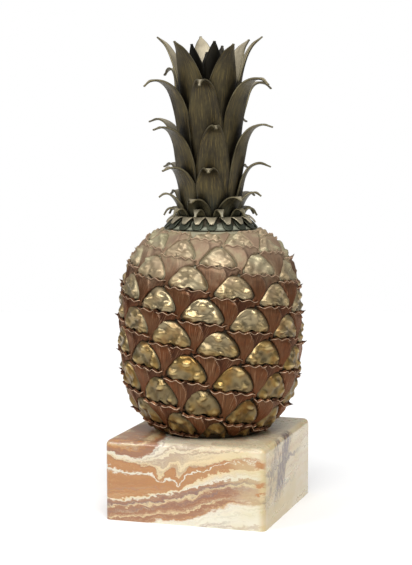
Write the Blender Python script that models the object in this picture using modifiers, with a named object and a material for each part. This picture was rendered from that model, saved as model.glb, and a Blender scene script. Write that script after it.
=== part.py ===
"""A pineapple cast in bronze with a crown of thin bronze leaves, standing on a block of onyx.

The plinth's underside is centred on the origin, its front faces -Y, and +Z is up. Sizes are named in
millimetres and become metres as each mesh is made. A bearing is an angle about the upright axis, counted
in degrees from the front of the plinth towards its right side.
"""

import math

import bmesh
import bpy
from mathutils import Vector

MM = 0.001
JOINT_GAP = 0.3

PLINTH_WIDTH = 130.0
PLINTH_DEPTH = 138.0
PLINTH_HEIGHT = 63.6
PLINTH_EDGE_RADIUS = 4.5
PLINTH_EDGE_SEGMENTS = 3

# The fruit's outline: a full middle that closes towards a flat foot and a flat neck.
FRUIT_RADIUS = 74.6
FRUIT_WAIST_Z = 142.0
FRUIT_UPPER_REACH = 92.1
FRUIT_UPPER_POWER = 3.0
FRUIT_LOWER_REACH = 88.5
FRUIT_LOWER_POWER = 2.6
FRUIT_SHOULDER_POWER = 0.4
FRUIT_FOOT_Z = PLINTH_HEIGHT + JOINT_GAP
NECK_Z = 226.0
MERIDIAN_STEP = 0.5
MERIDIAN_SPARE = 60.0

# The fruitlets follow one spiral. Every 4th, 9th and 13th lie side by side, so they also make rows.
FRUITLET_TURN = -82.3
FRUITLET_RISE = 2.0
FRUITLET_SPREAD_LOW = 0.0045
MIDDLE_RANK = 26
FIRST_BEARING = 2.1
NEXT_IN_ROW = 4
TURNS_IN_ROW = 1
NEXT_ASIDE = 9
NEXT_BELOW = 13
TURNS_BELOW = 3
FIRST_RANK = -38
LAST_RANK = 80

# Each fruitlet's patch of surface runs to the next in its row and to the next below.
PATCH_COLUMNS = 26
PATCH_ROWS = 17
WIDTH_PER_DEGREE = 1.28
RELIEF_MARGIN = 1.5
FRUIT_TRIANGLES = 4390

# A fruitlet's eye is a boss sunk in a groove. Its foot is flat. Its left side leans in more than its right:
# each side loses a share of the half width towards the top, by a power of the height.
BOSS_HALF_WIDTH = 17.4
BOSS_FOOT = -9.8
BOSS_WIDEST = -5.6
BOSS_TOP = 9.8
BOSS_TILT = -0.075
BOSS_LEFT_SIDE = (0.82, 1.05)
BOSS_RIGHT_SIDE = (0.60, 1.5)
BOSS_CROWN_POWER = 9.0
BOSS_FOOT_TUCK = 0.12
BOSS_FOOT_STEEPNESS = 1.6
BOSS_TOP_STEEPNESS = 1.2
BOSS_SHOULDER = 3.2
BOSS_ROUNDING = 1.7
GROOVE_DEPTH = 3.2

# Under the eye runs a lip, and from the lip hangs a bract that narrows to a point between two eyes.
LIP_LEVEL = -10.2
LIP_TILT = -0.09
LIP_HALF_WIDTH = 20.5
LIP_HEIGHT = 0.5
LIP_ROUND = 0.8
LIP_SLOPE = 2.0
BRACT_REACH = 24.0
BRACT_LEAN = -6.0
BRACT_FALL = 2.6
BRACT_SIDE_POWER = 0.62
BRACT_FALL_RATE = 2.4
BRACT_FALL_POWER = 0.6
SPIKE_PLACE = (1.0, -9.6)
SPIKE_RADIUS = 3.2
SPIKE_LENGTH = 4.6
SPIKE_POWER = 1.3

LEAF_THICKNESS = 1.2
LEAF_EDGE_GAP = 0.4
ROOT_Z = NECK_Z + 0.4
CROWN_LEAN = 0.0133
CROWN_LEAN_BEARING = -72.3
SMALL_LEAVES = 11
TIP_HALF_WIDTH = 1.0
TAPER_STATIONS = (0.0, 0.1, 0.22, 0.4, 0.66, 1.0)
SHORT_STATIONS = (0.0, 0.2, 0.5, 1.0)
CURVE_SAMPLES = 240

# Each ring of leaves: the bearing of each leaf with its reach, which is its height as a share of the
# ring's, its half width, the length and power of its taper, its cells across, and the curve that the
# middle of a leaf follows as (radius, height) from its root to its tip.
LEAF_RINGS = {
    "heart_leaf": {
        "leaves": ((-20, 1.0), (100, 0.985), (220, 1.01)),
        "half_width": 12.0,
        "taper": (46.0, 1.15),
        "across": 4,
        "curve": ((11.3, ROOT_Z), (11.6, 330), (9.6, 346), (5.4, 358), (2.6, 364)),
    },
    "inner_leaf": {
        "leaves": ((-20, 1.0), (30, 1.015), (167, 1.0), (250, 0.96)),
        "half_width": 10.4,
        "taper": (36.0, 0.85),
        "across": 3,
        "curve": ((13.6, ROOT_Z), (14.6, 300), (16.2, 340), (18.4, 357), (21.4, 371)),
    },
    "top_leaf": {
        "leaves": ((-91, 1.0), (-20, 0.965), (44, 0.95), (113, 1.0), (148, 0.99), (206, 1.01)),
        "half_width": 15.0,
        "taper": (58.0, 0.85),
        "across": 3,
        "curve": ((15.8, ROOT_Z), (19.4, 270), (22.8, 310), (25.0, 338), (28.6, 356), (34.4, 369), (43.0, 377.6)),
    },
    "upper_leaf": {
        "leaves": ((-47, 1.0), (10, 1.0), (73, 1.01), (134, 0.99), (191, 1.02), (238, 1.09)),
        "half_width": 13.6,
        "taper": (52.0, 1.15),
        "across": 3,
        "curve": ((17.6, ROOT_Z), (21.5, 270), (25.3, 304), (28.8, 322), (33.6, 335.5), (41.0, 341.6), (50.0, 342),
                  (56.0, 338.0)),
    },
    "middle_leaf": {
        "leaves": ((-97, 1.05), (-37, 0.975), (23, 0.99), (85, 1.0), (163, 1.05), (213, 1.0)),
        "half_width": 13.4,
        "taper": (50.0, 1.15),
        "across": 3,
        "curve": ((19.4, ROOT_Z), (22.4, 252), (25.2, 269), (28.0, 284), (31.2, 296.5), (36.6, 305), (45.0, 308.2),
                  (53.5, 306.4)),
    },
    "lower_leaf": {
        "leaves": ((-112, 1.02), (-32, 0.99), (16, 0.98), (103, 1.04), (158, 1.0), (208, 1.0)),
        "half_width": 12.0,
        "taper": (40.0, 1.0),
        "across": 3,
        "curve": ((21.2, ROOT_Z), (23.2, 243), (25.6, 256), (28.2, 266), (33.0, 273.0), (40.0, 275.4), (48.5, 273)),
    },
    "base_leaf": {
        "leaves": ((-112, 1.05), (-62, 1.0), (-4, 0.88), (53, 0.94), (93, 1.04), (138, 1.0), (196, 1.0)),
        "half_width": 10.4,
        "taper": (24.0, 1.0),
        "across": 3,
        "curve": ((23.0, ROOT_Z), (24.3, 238), (27.4, 246.5), (32.0, 252.4), (37.0, 253.6), (41.5, 251)),
    },
    "small_leaf": {
        "leaves": tuple((-1.3 + 360.0 / SMALL_LEAVES * place, 1.0) for place in range(SMALL_LEAVES)),
        "half_width": 4.6,
        "taper": (17.0, 1.0),
        "across": 2,
        "curve": ((24.8, ROOT_Z), (25.3, 232.5), (27.2, 238.4), (30.6, 242), (34.4, 241), (37.4, 236.6)),
    },
}
SHORT_LEAVED = ("base_leaf", "small_leaf")

# The collar: short pointed bracts, each over a rounded lobe, with the bare skirt showing between them. Its
# stations are shares of the way from one bract to the next, each with its section as (radius, height).
COLLAR_BRACTS = 18
COLLAR_BEARING = 19.7
COLLAR_BRACT_SECTION = ((26.3, 226.35), (27.6, 236.2), (30.6, 236.0), (35.6, 231.6), (36.9, 229.2), (37.8, 226.5))
COLLAR_SKIRT_SECTION = ((26.3, 226.35), (27.6, 236.2), (28.9, 234.8), (30.4, 232.0), (33.2, 229.0), (36.6, 226.5))
COLLAR_STATIONS = ((-0.26, COLLAR_BRACT_SECTION), (0.26, COLLAR_BRACT_SECTION), (0.5, COLLAR_SKIRT_SECTION))

BRONZE_GOLD = (0.36, 0.23, 0.08, 1.0)
BRONZE_GREEN = (0.07, 0.07, 0.045, 1.0)
ONYX = (0.72, 0.50, 0.33, 1.0)


def clear_scene():
    """Empties the scene of the objects that Blender starts with."""
    for item in list(bpy.data.objects):
        bpy.data.objects.remove(item, do_unlink=True)


def make_material(name, colour, roughness, metallic):
    """Returns a plain material of the given colour."""
    material = bpy.data.materials.new(name)
    material.use_nodes = True
    shader = material.node_tree.nodes["Principled BSDF"]
    shader.inputs["Base Color"].default_value = colour
    shader.inputs["Roughness"].default_value = roughness
    shader.inputs["Metallic"].default_value = metallic
    return material


def add_object(name, bm, material, collection, smooth_angle=None):
    """Puts a finished bmesh, in millimetres, into the scene as one named object in metres."""
    bmesh.ops.scale(bm, vec=(MM, MM, MM), verts=bm.verts)
    mesh = bpy.data.meshes.new(name)
    bm.to_mesh(mesh)
    bm.free()
    if smooth_angle is not None:
        mesh.shade_smooth()
        mesh.set_sharp_from_angle(angle=math.radians(smooth_angle))
    mesh.materials.append(material)
    piece = bpy.data.objects.new(name, mesh)
    collection.objects.link(piece)
    return piece


def around(bearing, radius, height):
    """Returns the point at a bearing, a distance from the axis and a height."""
    angle = math.radians(bearing)
    return Vector((radius * math.sin(angle), -radius * math.cos(angle), height))


def build_plinth(material, collection):
    """A block with softly rounded edges; the edges round its underside stay sharp."""
    bm = bmesh.new()
    bmesh.ops.create_cube(bm, size=1.0)
    bmesh.ops.scale(bm, vec=(PLINTH_WIDTH, PLINTH_DEPTH, PLINTH_HEIGHT), verts=bm.verts)
    bmesh.ops.translate(bm, vec=(0.0, 0.0, PLINTH_HEIGHT / 2), verts=bm.verts)
    rounded = [edge for edge in bm.edges if max(corner.co.z for corner in edge.verts) > PLINTH_HEIGHT / 2]
    bmesh.ops.bevel(bm, geom=rounded, offset=PLINTH_EDGE_RADIUS, segments=PLINTH_EDGE_SEGMENTS, profile=0.5,
                    affect="EDGES", clamp_overlap=True)
    add_object("plinth", bm, material, collection, smooth_angle=40)


def fruit_radius(height):
    """Returns the fruit's outline radius at a height."""
    offset = height - FRUIT_WAIST_Z
    if offset > 0:
        closing = (offset / FRUIT_UPPER_REACH) ** FRUIT_UPPER_POWER
    else:
        closing = (-offset / FRUIT_LOWER_REACH) ** FRUIT_LOWER_POWER
    return FRUIT_RADIUS * (1.0 - min(closing, 0.999)) ** FRUIT_SHOULDER_POWER


def walk_outline(end_height):
    """Returns (length, radius, height) stations along the outline, from the waist to an end.

    Past the end the outline goes straight on, up or down, so that there is surface to trim.
    """
    direction = 1.0 if end_height > FRUIT_WAIST_Z else -1.0
    stations = [(0.0, fruit_radius(FRUIT_WAIST_Z), FRUIT_WAIST_Z)]
    height = FRUIT_WAIST_Z
    while abs(height - end_height) > 1e-6:
        height += direction * min(MERIDIAN_STEP, abs(end_height - height))
        length, radius, previous = stations[-1]
        new_radius = fruit_radius(height)
        step = math.hypot(new_radius - radius, height - previous)
        stations.append((length + step, new_radius, height))
    length, radius, height = stations[-1]
    stations.append((length + MERIDIAN_SPARE, radius, height + direction * MERIDIAN_SPARE))
    return stations


def outline_at(stations, length):
    """Returns the radius, the height and the outward normal (radius, height) at a length of outline."""
    length = min(length, stations[-1][0])
    upper = next(index for index, station in enumerate(stations) if index and station[0] >= length - 1e-9)
    start, end = stations[upper - 1], stations[upper]
    share = (length - start[0]) / (end[0] - start[0])
    radius = start[1] + share * (end[1] - start[1])
    height = start[2] + share * (end[2] - start[2])
    along = Vector((end[1] - start[1], end[2] - start[2])).normalized()
    normal = Vector((abs(along.y), -along.x if along.y > 0 else along.x))
    return radius, height, normal


def rank_to_length(rank):
    """Returns how far above the waist, along the outline, a rank of the spiral lies."""
    offset = rank - MIDDLE_RANK
    return -FRUITLET_RISE * offset * (1.0 + FRUITLET_SPREAD_LOW * max(offset, 0.0))


def fruitlet_bearing(rank):
    """Returns the bearing of a fruitlet of the spiral."""
    return FIRST_BEARING + FRUITLET_TURN * rank


def boss_height(across, up):
    """Returns the height of a fruitlet's swollen eye, or None outside it: flat foot, gabled top."""
    up -= BOSS_TILT * across
    if not BOSS_FOOT < up < BOSS_TOP:
        return None
    over = max(up - BOSS_WIDEST, 0.0) / (BOSS_TOP - BOSS_WIDEST)
    under = max(BOSS_WIDEST - up, 0.0) / (BOSS_WIDEST - BOSS_FOOT)
    loss, power = BOSS_LEFT_SIDE if across < 0.0 else BOSS_RIGHT_SIDE
    half_width = BOSS_HALF_WIDTH * math.sqrt(1.0 - over ** BOSS_CROWN_POWER) * (1.0 - loss * over ** power)
    half_width *= 1.0 - BOSS_FOOT_TUCK * under ** 2
    inside = min(half_width - abs(across), (up - BOSS_FOOT) * BOSS_FOOT_STEEPNESS,
                 (BOSS_TOP - up) * BOSS_TOP_STEEPNESS)
    if inside <= 0.0:
        return None
    swell = min(inside / BOSS_SHOULDER, 1.0)
    return -GROOVE_DEPTH * (1.0 - swell) ** BOSS_ROUNDING


def bract_height(across, up):
    """Returns the height of the pointed bract that hangs below a fruitlet's lip, or None outside it."""
    down = LIP_LEVEL + LIP_TILT * across - up
    if not -LIP_ROUND <= down <= BRACT_REACH:
        return None
    share = max(down / BRACT_REACH, 0.0)
    if abs(across - BRACT_LEAN * share) > LIP_HALF_WIDTH * (1.0 - share) ** BRACT_SIDE_POWER:
        return None
    if down < 0.0:
        return LIP_HEIGHT + down * LIP_SLOPE
    return LIP_HEIGHT - (LIP_HEIGHT + BRACT_FALL) * min(1.0, share * BRACT_FALL_RATE) ** BRACT_FALL_POWER


def spike_height(across, up):
    """Returns the height of the spike in the middle of a fruitlet's lip, or None beside it."""
    aside = math.hypot(across - SPIKE_PLACE[0], up - SPIKE_PLACE[1]) / SPIKE_RADIUS
    return None if aside >= 1.0 else SPIKE_LENGTH * (1.0 - aside) ** SPIKE_POWER


def patch_relief():
    """Returns the heights over one fruitlet's patch, the highest of the carvings that reach each place."""
    steps = [sign * step for step in (NEXT_IN_ROW, NEXT_ASIDE, NEXT_BELOW) for sign in (-1, 1)]
    steps += [0, NEXT_IN_ROW + NEXT_BELOW, -NEXT_IN_ROW - NEXT_BELOW]
    heights = {}
    for column in range(PATCH_COLUMNS):
        for row in range(PATCH_ROWS):
            rank, turn = patch_place(column, row)
            highest = -GROOVE_DEPTH
            for step in steps:
                aside = (turn - FRUITLET_TURN * step + 180.0) % 360.0 - 180.0
                local = (aside * WIDTH_PER_DEGREE, -FRUITLET_RISE * (rank - step))
                for carving in (boss_height, bract_height, spike_height):
                    height = carving(*local)
                    highest = highest if height is None else max(highest, height)
            heights[column, row] = highest
    return heights


def patch_place(column, row):
    """Returns how many ranks and degrees a patch's grid point lies from its fruitlet."""
    sideways = column / PATCH_COLUMNS - 0.5
    downward = row / PATCH_ROWS - 0.5
    row_turn = FRUITLET_TURN * NEXT_IN_ROW + 360.0 * TURNS_IN_ROW
    down_turn = FRUITLET_TURN * NEXT_BELOW + 360.0 * TURNS_BELOW
    rank = NEXT_IN_ROW * sideways + NEXT_BELOW * downward
    return rank, row_turn * sideways + down_turn * downward


def carve_fruit():
    """Returns the fruit's relief as an open bmesh that runs past both ends, patch joined to patch."""
    upper = walk_outline(NECK_Z)
    lower = walk_outline(FRUIT_FOOT_Z)
    heights = patch_relief()
    bm = bmesh.new()
    corners = {}
    for fruitlet in range(FIRST_RANK, LAST_RANK):
        for column in range(PATCH_COLUMNS):
            for row in range(PATCH_ROWS):
                rank, turn = patch_place(column, row)
                length = rank_to_length(fruitlet + rank)
                stations = upper if length >= 0 else lower
                radius, height, normal = outline_at(stations, abs(length))
                above = heights[column, row]  # the ends are left smooth for the trim
                if abs(length) > stations[-2][0] + RELIEF_MARGIN:
                    above = -GROOVE_DEPTH / 2
                place = around(fruitlet_bearing(fruitlet) + turn, radius + normal.x * above,
                               height + normal.y * above)
                corners[fruitlet, column, row] = bm.verts.new(place)

    def corner(fruitlet, column, row):
        """Returns a corner, or the one of the next patch that lies past this patch's edge."""
        if column == PATCH_COLUMNS:
            fruitlet, column = fruitlet + NEXT_IN_ROW, 0
        if row == PATCH_ROWS:
            fruitlet, row = fruitlet + NEXT_BELOW, 0
        return corners.get((fruitlet, column, row))

    for fruitlet, column, row in list(corners):
        ring = [corner(fruitlet, column, row), corner(fruitlet, column, row + 1),
                corner(fruitlet, column + 1, row + 1), corner(fruitlet, column + 1, row)]
        if None not in ring:
            bm.faces.new(ring)
    loose = [vert for vert in bm.verts if not vert.link_faces]
    bmesh.ops.delete(bm, geom=loose, context="VERTS")
    return bm


def thin_out(bm, triangles):
    """Returns a bmesh thinned to about so many triangles by a Decimate modifier, its details kept."""
    mesh = bpy.data.meshes.new("carving")
    bm.to_mesh(mesh)
    bm.free()
    carving = bpy.data.objects.new("carving", mesh)
    bpy.context.scene.collection.objects.link(carving)
    thinning = carving.modifiers.new("thinning", "DECIMATE")
    thinning.ratio = triangles / (2.0 * len(mesh.polygons))
    thinned = bpy.data.meshes.new_from_object(carving.evaluated_get(bpy.context.evaluated_depsgraph_get()))
    bpy.data.objects.remove(carving, do_unlink=True)
    result = bmesh.new()
    result.from_mesh(thinned)
    bpy.data.meshes.remove(thinned)
    return result


def build_fruit(material, collection):
    """One casting: the patches of all fruitlets, joined along the spiral and trimmed flat at both ends."""
    bm = thin_out(carve_fruit(), FRUIT_TRIANGLES)
    for height, direction in ((NECK_Z, 1.0), (FRUIT_FOOT_Z, -1.0)):
        whole = bm.verts[:] + bm.edges[:] + bm.faces[:]
        bmesh.ops.bisect_plane(bm, geom=whole, dist=1e-4, plane_co=(0.0, 0.0, height),
                               plane_no=(0.0, 0.0, direction), clear_outer=True)
        rim = [edge for edge in bm.edges if edge.is_boundary
               and all(abs(end.co.z - height) < 1e-3 for end in edge.verts)]
        bmesh.ops.contextual_create(bm, geom=rim)
    bmesh.ops.recalc_face_normals(bm, faces=bm.faces)
    add_object("fruit", bm, material, collection, smooth_angle=35)


def spline_point(knots, share):
    """Returns the point at a share, 0 to 1, of a smooth curve through the knots."""
    spans = len(knots) - 1
    place = min(max(share, 0.0), 1.0) * spans
    index = min(int(place), spans - 1)
    along = place - index
    start, end = knots[index], knots[index + 1]
    before = knots[index - 1] if index else start * 2 - end
    after = knots[index + 2] if index + 2 <= spans else end * 2 - start
    return 0.5 * (start * 2 + (end - before) * along
                  + (before * 2 - start * 5 + end * 4 - after) * along ** 2
                  + (start * 3 - before - end * 3 + after) * along ** 3)


def leaf_stations(ring, reach, fractions):
    """Returns (distance from the tip, radius, height) for the stations of a leaf, tip first."""
    knots = [Vector((radius, ROOT_Z + (height - ROOT_Z) * reach)) for radius, height in ring["curve"]]
    samples = [spline_point(knots, 1.0 - step / CURVE_SAMPLES) for step in range(CURVE_SAMPLES + 1)]
    walked = [0.0]
    for previous, point in zip(samples, samples[1:]):
        walked.append(walked[-1] + (point - previous).length)
    stations = []
    for distance in [share * ring["taper"][0] for share in fractions] + [walked[-1]]:
        index = min(range(len(walked)), key=lambda place: abs(walked[place] - distance))
        stations.append((distance, samples[index].x, samples[index].y))
    return stations


def leaf_half_width(ring, distance):
    """Returns a leaf's half width at a distance from its tip, before its neighbours limit it."""
    length, power = ring["taper"]
    share = min(distance / length, 1.0)
    return max(ring["half_width"] * math.sin(math.pi / 2 * share) ** power, TIP_HALF_WIDTH)


def lean(point):
    """Returns a crown point moved with the slight lean of the crown."""
    shift = around(CROWN_LEAN_BEARING, CROWN_LEAN * (point.z - ROOT_Z), 0.0)
    return point + shift


def build_leaf(name, ring_name, place, material, collection):
    """One thin leaf: an open sheet round the axis, given its thickness by a Solidify modifier."""
    ring = LEAF_RINGS[ring_name]
    bearing, reach = ring["leaves"][place]
    bearing_before = ring["leaves"][place - 1][0]
    bearing_after = ring["leaves"][(place + 1) % len(ring["leaves"])][0]
    room_left = ((bearing - bearing_before) % 360.0) / 2
    room_right = ((bearing_after - bearing) % 360.0) / 2
    fractions = SHORT_STATIONS if ring_name in SHORT_LEAVED else TAPER_STATIONS
    stations = leaf_stations(ring, reach, fractions)
    across = ring["across"]
    bm = bmesh.new()
    bmesh.ops.create_grid(bm, x_segments=across, y_segments=len(stations) - 1, size=0.5)
    for corner in bm.verts:
        side = corner.co.x * 2
        row = round((0.5 - corner.co.y) * (len(stations) - 1))
        distance, radius, height = stations[row]
        room = math.radians(room_left if side < 0 else room_right) - LEAF_EDGE_GAP / radius
        spread = min(leaf_half_width(ring, distance) / radius, room)
        corner.co = lean(around(bearing + math.degrees(spread) * side, radius, height))
    bmesh.ops.recalc_face_normals(bm, faces=bm.faces)
    centre = sum((face.calc_center_median().x * face.normal.x + face.calc_center_median().y * face.normal.y)
                 for face in bm.faces)
    if centre < 0:
        bmesh.ops.reverse_faces(bm, faces=bm.faces)
    leaf = add_object(name, bm, material, collection, smooth_angle=40)
    wall = leaf.modifiers.new("sheet", "SOLIDIFY")
    wall.thickness = LEAF_THICKNESS * MM
    wall.offset = 0.0
    wall.use_even_offset = False


def build_collar(material, collection):
    """The ring of short bracts and lobes round the crown's foot."""
    bm = bmesh.new()
    sections = []
    for number in range(COLLAR_BRACTS):
        for share, section in COLLAR_STATIONS:
            bearing = COLLAR_BEARING + (number + share) * 360.0 / COLLAR_BRACTS
            sections.append([bm.verts.new(around(bearing, radius, height)) for radius, height in section])
    for index, section in enumerate(sections):
        following = sections[(index + 1) % len(sections)]
        for place in range(len(section)):
            after = (place + 1) % len(section)
            bm.faces.new((section[place], section[after], following[after], following[place]))
    bmesh.ops.triangulate(bm, faces=bm.faces)
    bmesh.ops.recalc_face_normals(bm, faces=bm.faces)
    add_object("collar", bm, material, collection, smooth_angle=35)


def main():
    """Builds the whole object."""
    clear_scene()
    collection = bpy.data.collections.new("bronze_pineapple")
    bpy.context.scene.collection.children.link(collection)
    gold = make_material("golden_bronze", BRONZE_GOLD, 0.35, 1.0)
    green = make_material("dark_green_bronze", BRONZE_GREEN, 0.5, 1.0)
    onyx = make_material("honey_onyx", ONYX, 0.3, 0.0)
    build_plinth(onyx, collection)
    build_fruit(gold, collection)
    build_collar(green, collection)
    for ring_name, ring in LEAF_RINGS.items():
        for place in range(len(ring["leaves"])):
            build_leaf(f"{ring_name}_{place + 1}", ring_name, place, green, collection)


main()
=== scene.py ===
"""Dresses the bronze pineapple: crumpled golden eyes, keeled bracts, patinated leaves and banded onyx.

Shapes are worked out in millimetres and become metres as each mesh is made. A bearing is an angle about the
upright axis, counted in degrees from the front of the plinth (-Y) towards its right side (+X).
"""

from __future__ import annotations

import logging
import math
from dataclasses import dataclass, field
from enum import Enum
from typing import Any, Mapping, Sequence

import bmesh
import bpy
import numpy as np
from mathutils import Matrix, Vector

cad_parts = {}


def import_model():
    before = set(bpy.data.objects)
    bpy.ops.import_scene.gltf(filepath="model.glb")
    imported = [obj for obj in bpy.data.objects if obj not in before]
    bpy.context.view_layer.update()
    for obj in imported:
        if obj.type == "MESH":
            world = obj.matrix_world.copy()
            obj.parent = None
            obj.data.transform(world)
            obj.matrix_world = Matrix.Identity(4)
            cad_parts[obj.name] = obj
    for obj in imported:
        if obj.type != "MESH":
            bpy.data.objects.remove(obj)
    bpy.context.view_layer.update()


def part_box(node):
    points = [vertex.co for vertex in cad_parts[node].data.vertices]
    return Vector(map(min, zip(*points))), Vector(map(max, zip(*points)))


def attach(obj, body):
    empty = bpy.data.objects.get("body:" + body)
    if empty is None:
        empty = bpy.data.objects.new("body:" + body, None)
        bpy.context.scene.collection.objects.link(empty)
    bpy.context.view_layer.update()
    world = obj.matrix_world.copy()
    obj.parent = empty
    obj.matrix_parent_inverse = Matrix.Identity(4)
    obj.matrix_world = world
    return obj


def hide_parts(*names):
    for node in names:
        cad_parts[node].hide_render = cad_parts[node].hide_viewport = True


LOG = logging.getLogger("pineapple")
MM = 0.001
# Points nearer than this, in metres, are one point.
MERGE_DISTANCE = 1e-6
# A wave's start is drawn from nought to this.
PHASES = 6.28
# How far apart, in UV units, neighbouring parts lie, so that no two share a pattern.
UV_STEP = 3.0
BODY = "root"
Colour = tuple[float, float, float]


class Slot(Enum):
    """The material slots."""

    ONYX = "onyx"
    GOLD = "golden_bronze"
    DARK = "dark_bronze"


class Wire:
    """One output of a finish's nodes. Arithmetic on it adds Math nodes."""

    def __init__(self, paint: Paint, socket: bpy.types.NodeSocket) -> None:
        """Keeps the socket and the finish that it belongs to."""
        self.paint = paint
        self.socket = socket

    def _math(self, operation: str, first: Any, second: Any) -> Wire:
        """Returns the result of one Math node."""
        return self.paint.node("ShaderNodeMath", {"operation": operation}, {0: first, 1: second})

    def __add__(self, other: Wire | float) -> Wire:
        """Adds."""
        return self._math("ADD", self, other)

    __radd__ = __add__

    def __sub__(self, other: Wire | float) -> Wire:
        """Takes away."""
        return self._math("SUBTRACT", self, other)

    def __rsub__(self, other: Wire | float) -> Wire:
        """Takes this away from a number."""
        return self._math("SUBTRACT", other, self)

    def __mul__(self, other: Wire | float) -> Wire:
        """Multiplies."""
        return self._math("MULTIPLY", self, other)

    __rmul__ = __mul__

    def larger(self, other: Wire | float) -> Wire:
        """Returns the larger of the two."""
        return self._math("MAXIMUM", self, other)


class Paint:
    """The nodes of one finish round its Principled BSDF."""

    def __init__(self, name: str) -> None:
        """Starts a material.

        Args:
            name: the material's name.
        """
        self.material = bpy.data.materials.new(name)
        self.material.use_nodes = True
        self.tree = self.material.node_tree
        self.shader = self.tree.nodes["Principled BSDF"]

    def node(self, kind: str, settings: Mapping[str, Any] | None = None,
             values: Mapping[int | str, Any] | None = None, output: int | str = 0) -> Wire:
        """Adds one node.

        Args:
            kind: the node's type.
            settings: its settings, set first; "stops" fills a ramp with (place, colour) pairs, and
                "smoothing" says how it goes from one to the next.
            values: the number, colour or Wire of each socket.
            output: which output to return.

        Returns:
            The output as a Wire.
        """
        made = self.tree.nodes.new(kind)
        for name, setting in (settings or {}).items():
            if name == "stops":
                self._fill_ramp(made.color_ramp, setting)
            elif name == "smoothing":
                made.color_ramp.interpolation = setting
            else:
                setattr(made, name, setting)
        for socket, value in (values or {}).items():
            self._feed(made.inputs[socket], value)
        return Wire(self, made.outputs[output])

    def _fill_ramp(self, ramp: bpy.types.ColorRamp, stops: Sequence[tuple[float, Colour]]) -> None:
        """Sets a ramp's stops."""
        while len(ramp.elements) < len(stops):
            ramp.elements.new(1.0)
        for element, (place, colour) in zip(ramp.elements, stops):
            element.position = place
            element.color = (*colour, 1.0)

    def _feed(self, socket: bpy.types.NodeSocket, value: Any) -> None:
        """Links a Wire to a socket, or sets the socket's own value."""
        if isinstance(value, Wire):
            self.tree.links.new(value.socket, socket)
        elif isinstance(value, tuple) and socket.type == "RGBA":
            socket.default_value = (*value, 1.0)
        else:
            socket.default_value = value

    def place(self) -> Wire:
        """Returns the Object coordinates, in metres."""
        return self.node("ShaderNodeTexCoord", output="Object")

    def surface(self) -> Wire:
        """Returns the piece's own UV coordinates."""
        return self.node("ShaderNodeTexCoord", output="UV")

    def measure(self, name: str) -> Wire:
        """Returns a number kept on the mesh's points."""
        return self.node("ShaderNodeAttribute", {"attribute_name": name}, output="Fac")

    def split(self, vector: Wire) -> tuple[Wire, Wire, Wire]:
        """Returns a vector's three numbers."""
        first = self.node("ShaderNodeSeparateXYZ", None, {0: vector})
        return first, Wire(self, first.socket.node.outputs[1]), Wire(self, first.socket.node.outputs[2])

    def join(self, first: Wire | float, second: Wire | float, third: Wire | float = 0.0) -> Wire:
        """Returns a vector of three numbers."""
        return self.node("ShaderNodeCombineXYZ", None, {0: first, 1: second, 2: third})

    def stretch(self, vector: Wire, factors: tuple[float, float, float]) -> Wire:
        """Returns a vector multiplied by a factor along each axis."""
        return self.node("ShaderNodeVectorMath", {"operation": "MULTIPLY"}, {0: vector, 1: factors})

    def noise(self, vector: Wire, scale: float, detail: float = 2.0, rough: float = 0.5) -> Wire:
        """Returns fractal noise, about 0.2 to 0.8, whose cells are 1 / scale wide."""
        return self.node("ShaderNodeTexNoise", None,
                         {"Vector": vector, "Scale": scale, "Detail": detail, "Roughness": rough})

    def ramp(self, value: Wire, low: float, high: float, start: float = 0.0, end: float = 1.0) -> Wire:
        """Returns start to end as a value goes smoothly from low to high."""
        return self.node("ShaderNodeMapRange", {"interpolation_type": "SMOOTHSTEP"},
                         {"Value": value, "From Min": low, "From Max": high, "To Min": start, "To Max": end})

    def share(self, value: Wire, low: Wire | float, high: Wire | float) -> Wire:
        """Returns how far, 0 to 1, a value has come from low to high."""
        return self.node("ShaderNodeMapRange", None, {"Value": value, "From Min": low, "From Max": high})

    def near(self, value: Wire, width: float) -> Wire:
        """Returns 1 where a value is nought, falling to 0 where it is as large as the width."""
        return self.ramp(value * value, width * width, 0.0)

    def shades(self, value: Wire, stops: Sequence[tuple[float, Colour]]) -> Wire:
        """Returns the colour that a ramp gives a value."""
        return self.node("ShaderNodeValToRGB", {"stops": stops}, {"Fac": value})

    def mix(self, share: Wire | float, first: Wire | Colour, second: Wire | Colour) -> Wire:
        """Returns two colours mixed by a share, held to 0 to 1, of the second."""
        return self.node("ShaderNodeMix", {"data_type": "RGBA", "clamp_factor": True},
                         {0: share, 6: first, 7: second}, output=2)

    def high_up(self, height: Wire, cloud: Wire, low: float, high: float, ragged: float) -> Wire:
        """Returns 0 to 1 as the height goes from low to high, its edge made ragged by a noise about 0.5."""
        return self.ramp(height + ragged * cloud, low + ragged / 2, high + ragged / 2)

    def bump(self, height: Wire, strength: float, distance: float) -> Wire:
        """Returns the normal of a height, in units of a distance in metres."""
        return self.node("ShaderNodeBump", None,
                         {"Height": height, "Strength": strength, "Distance": distance})

    def finish(self, **sockets: Any) -> bpy.types.Material:
        """Feeds the shader's sockets and returns the material.

        Args:
            sockets: the value or Wire of each, its spaces written as underscores.

        Returns:
            The finished material.
        """
        for name, value in sockets.items():
            self._feed(self.shader.inputs[name.replace("_", " ")], value)
        return self.material


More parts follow.
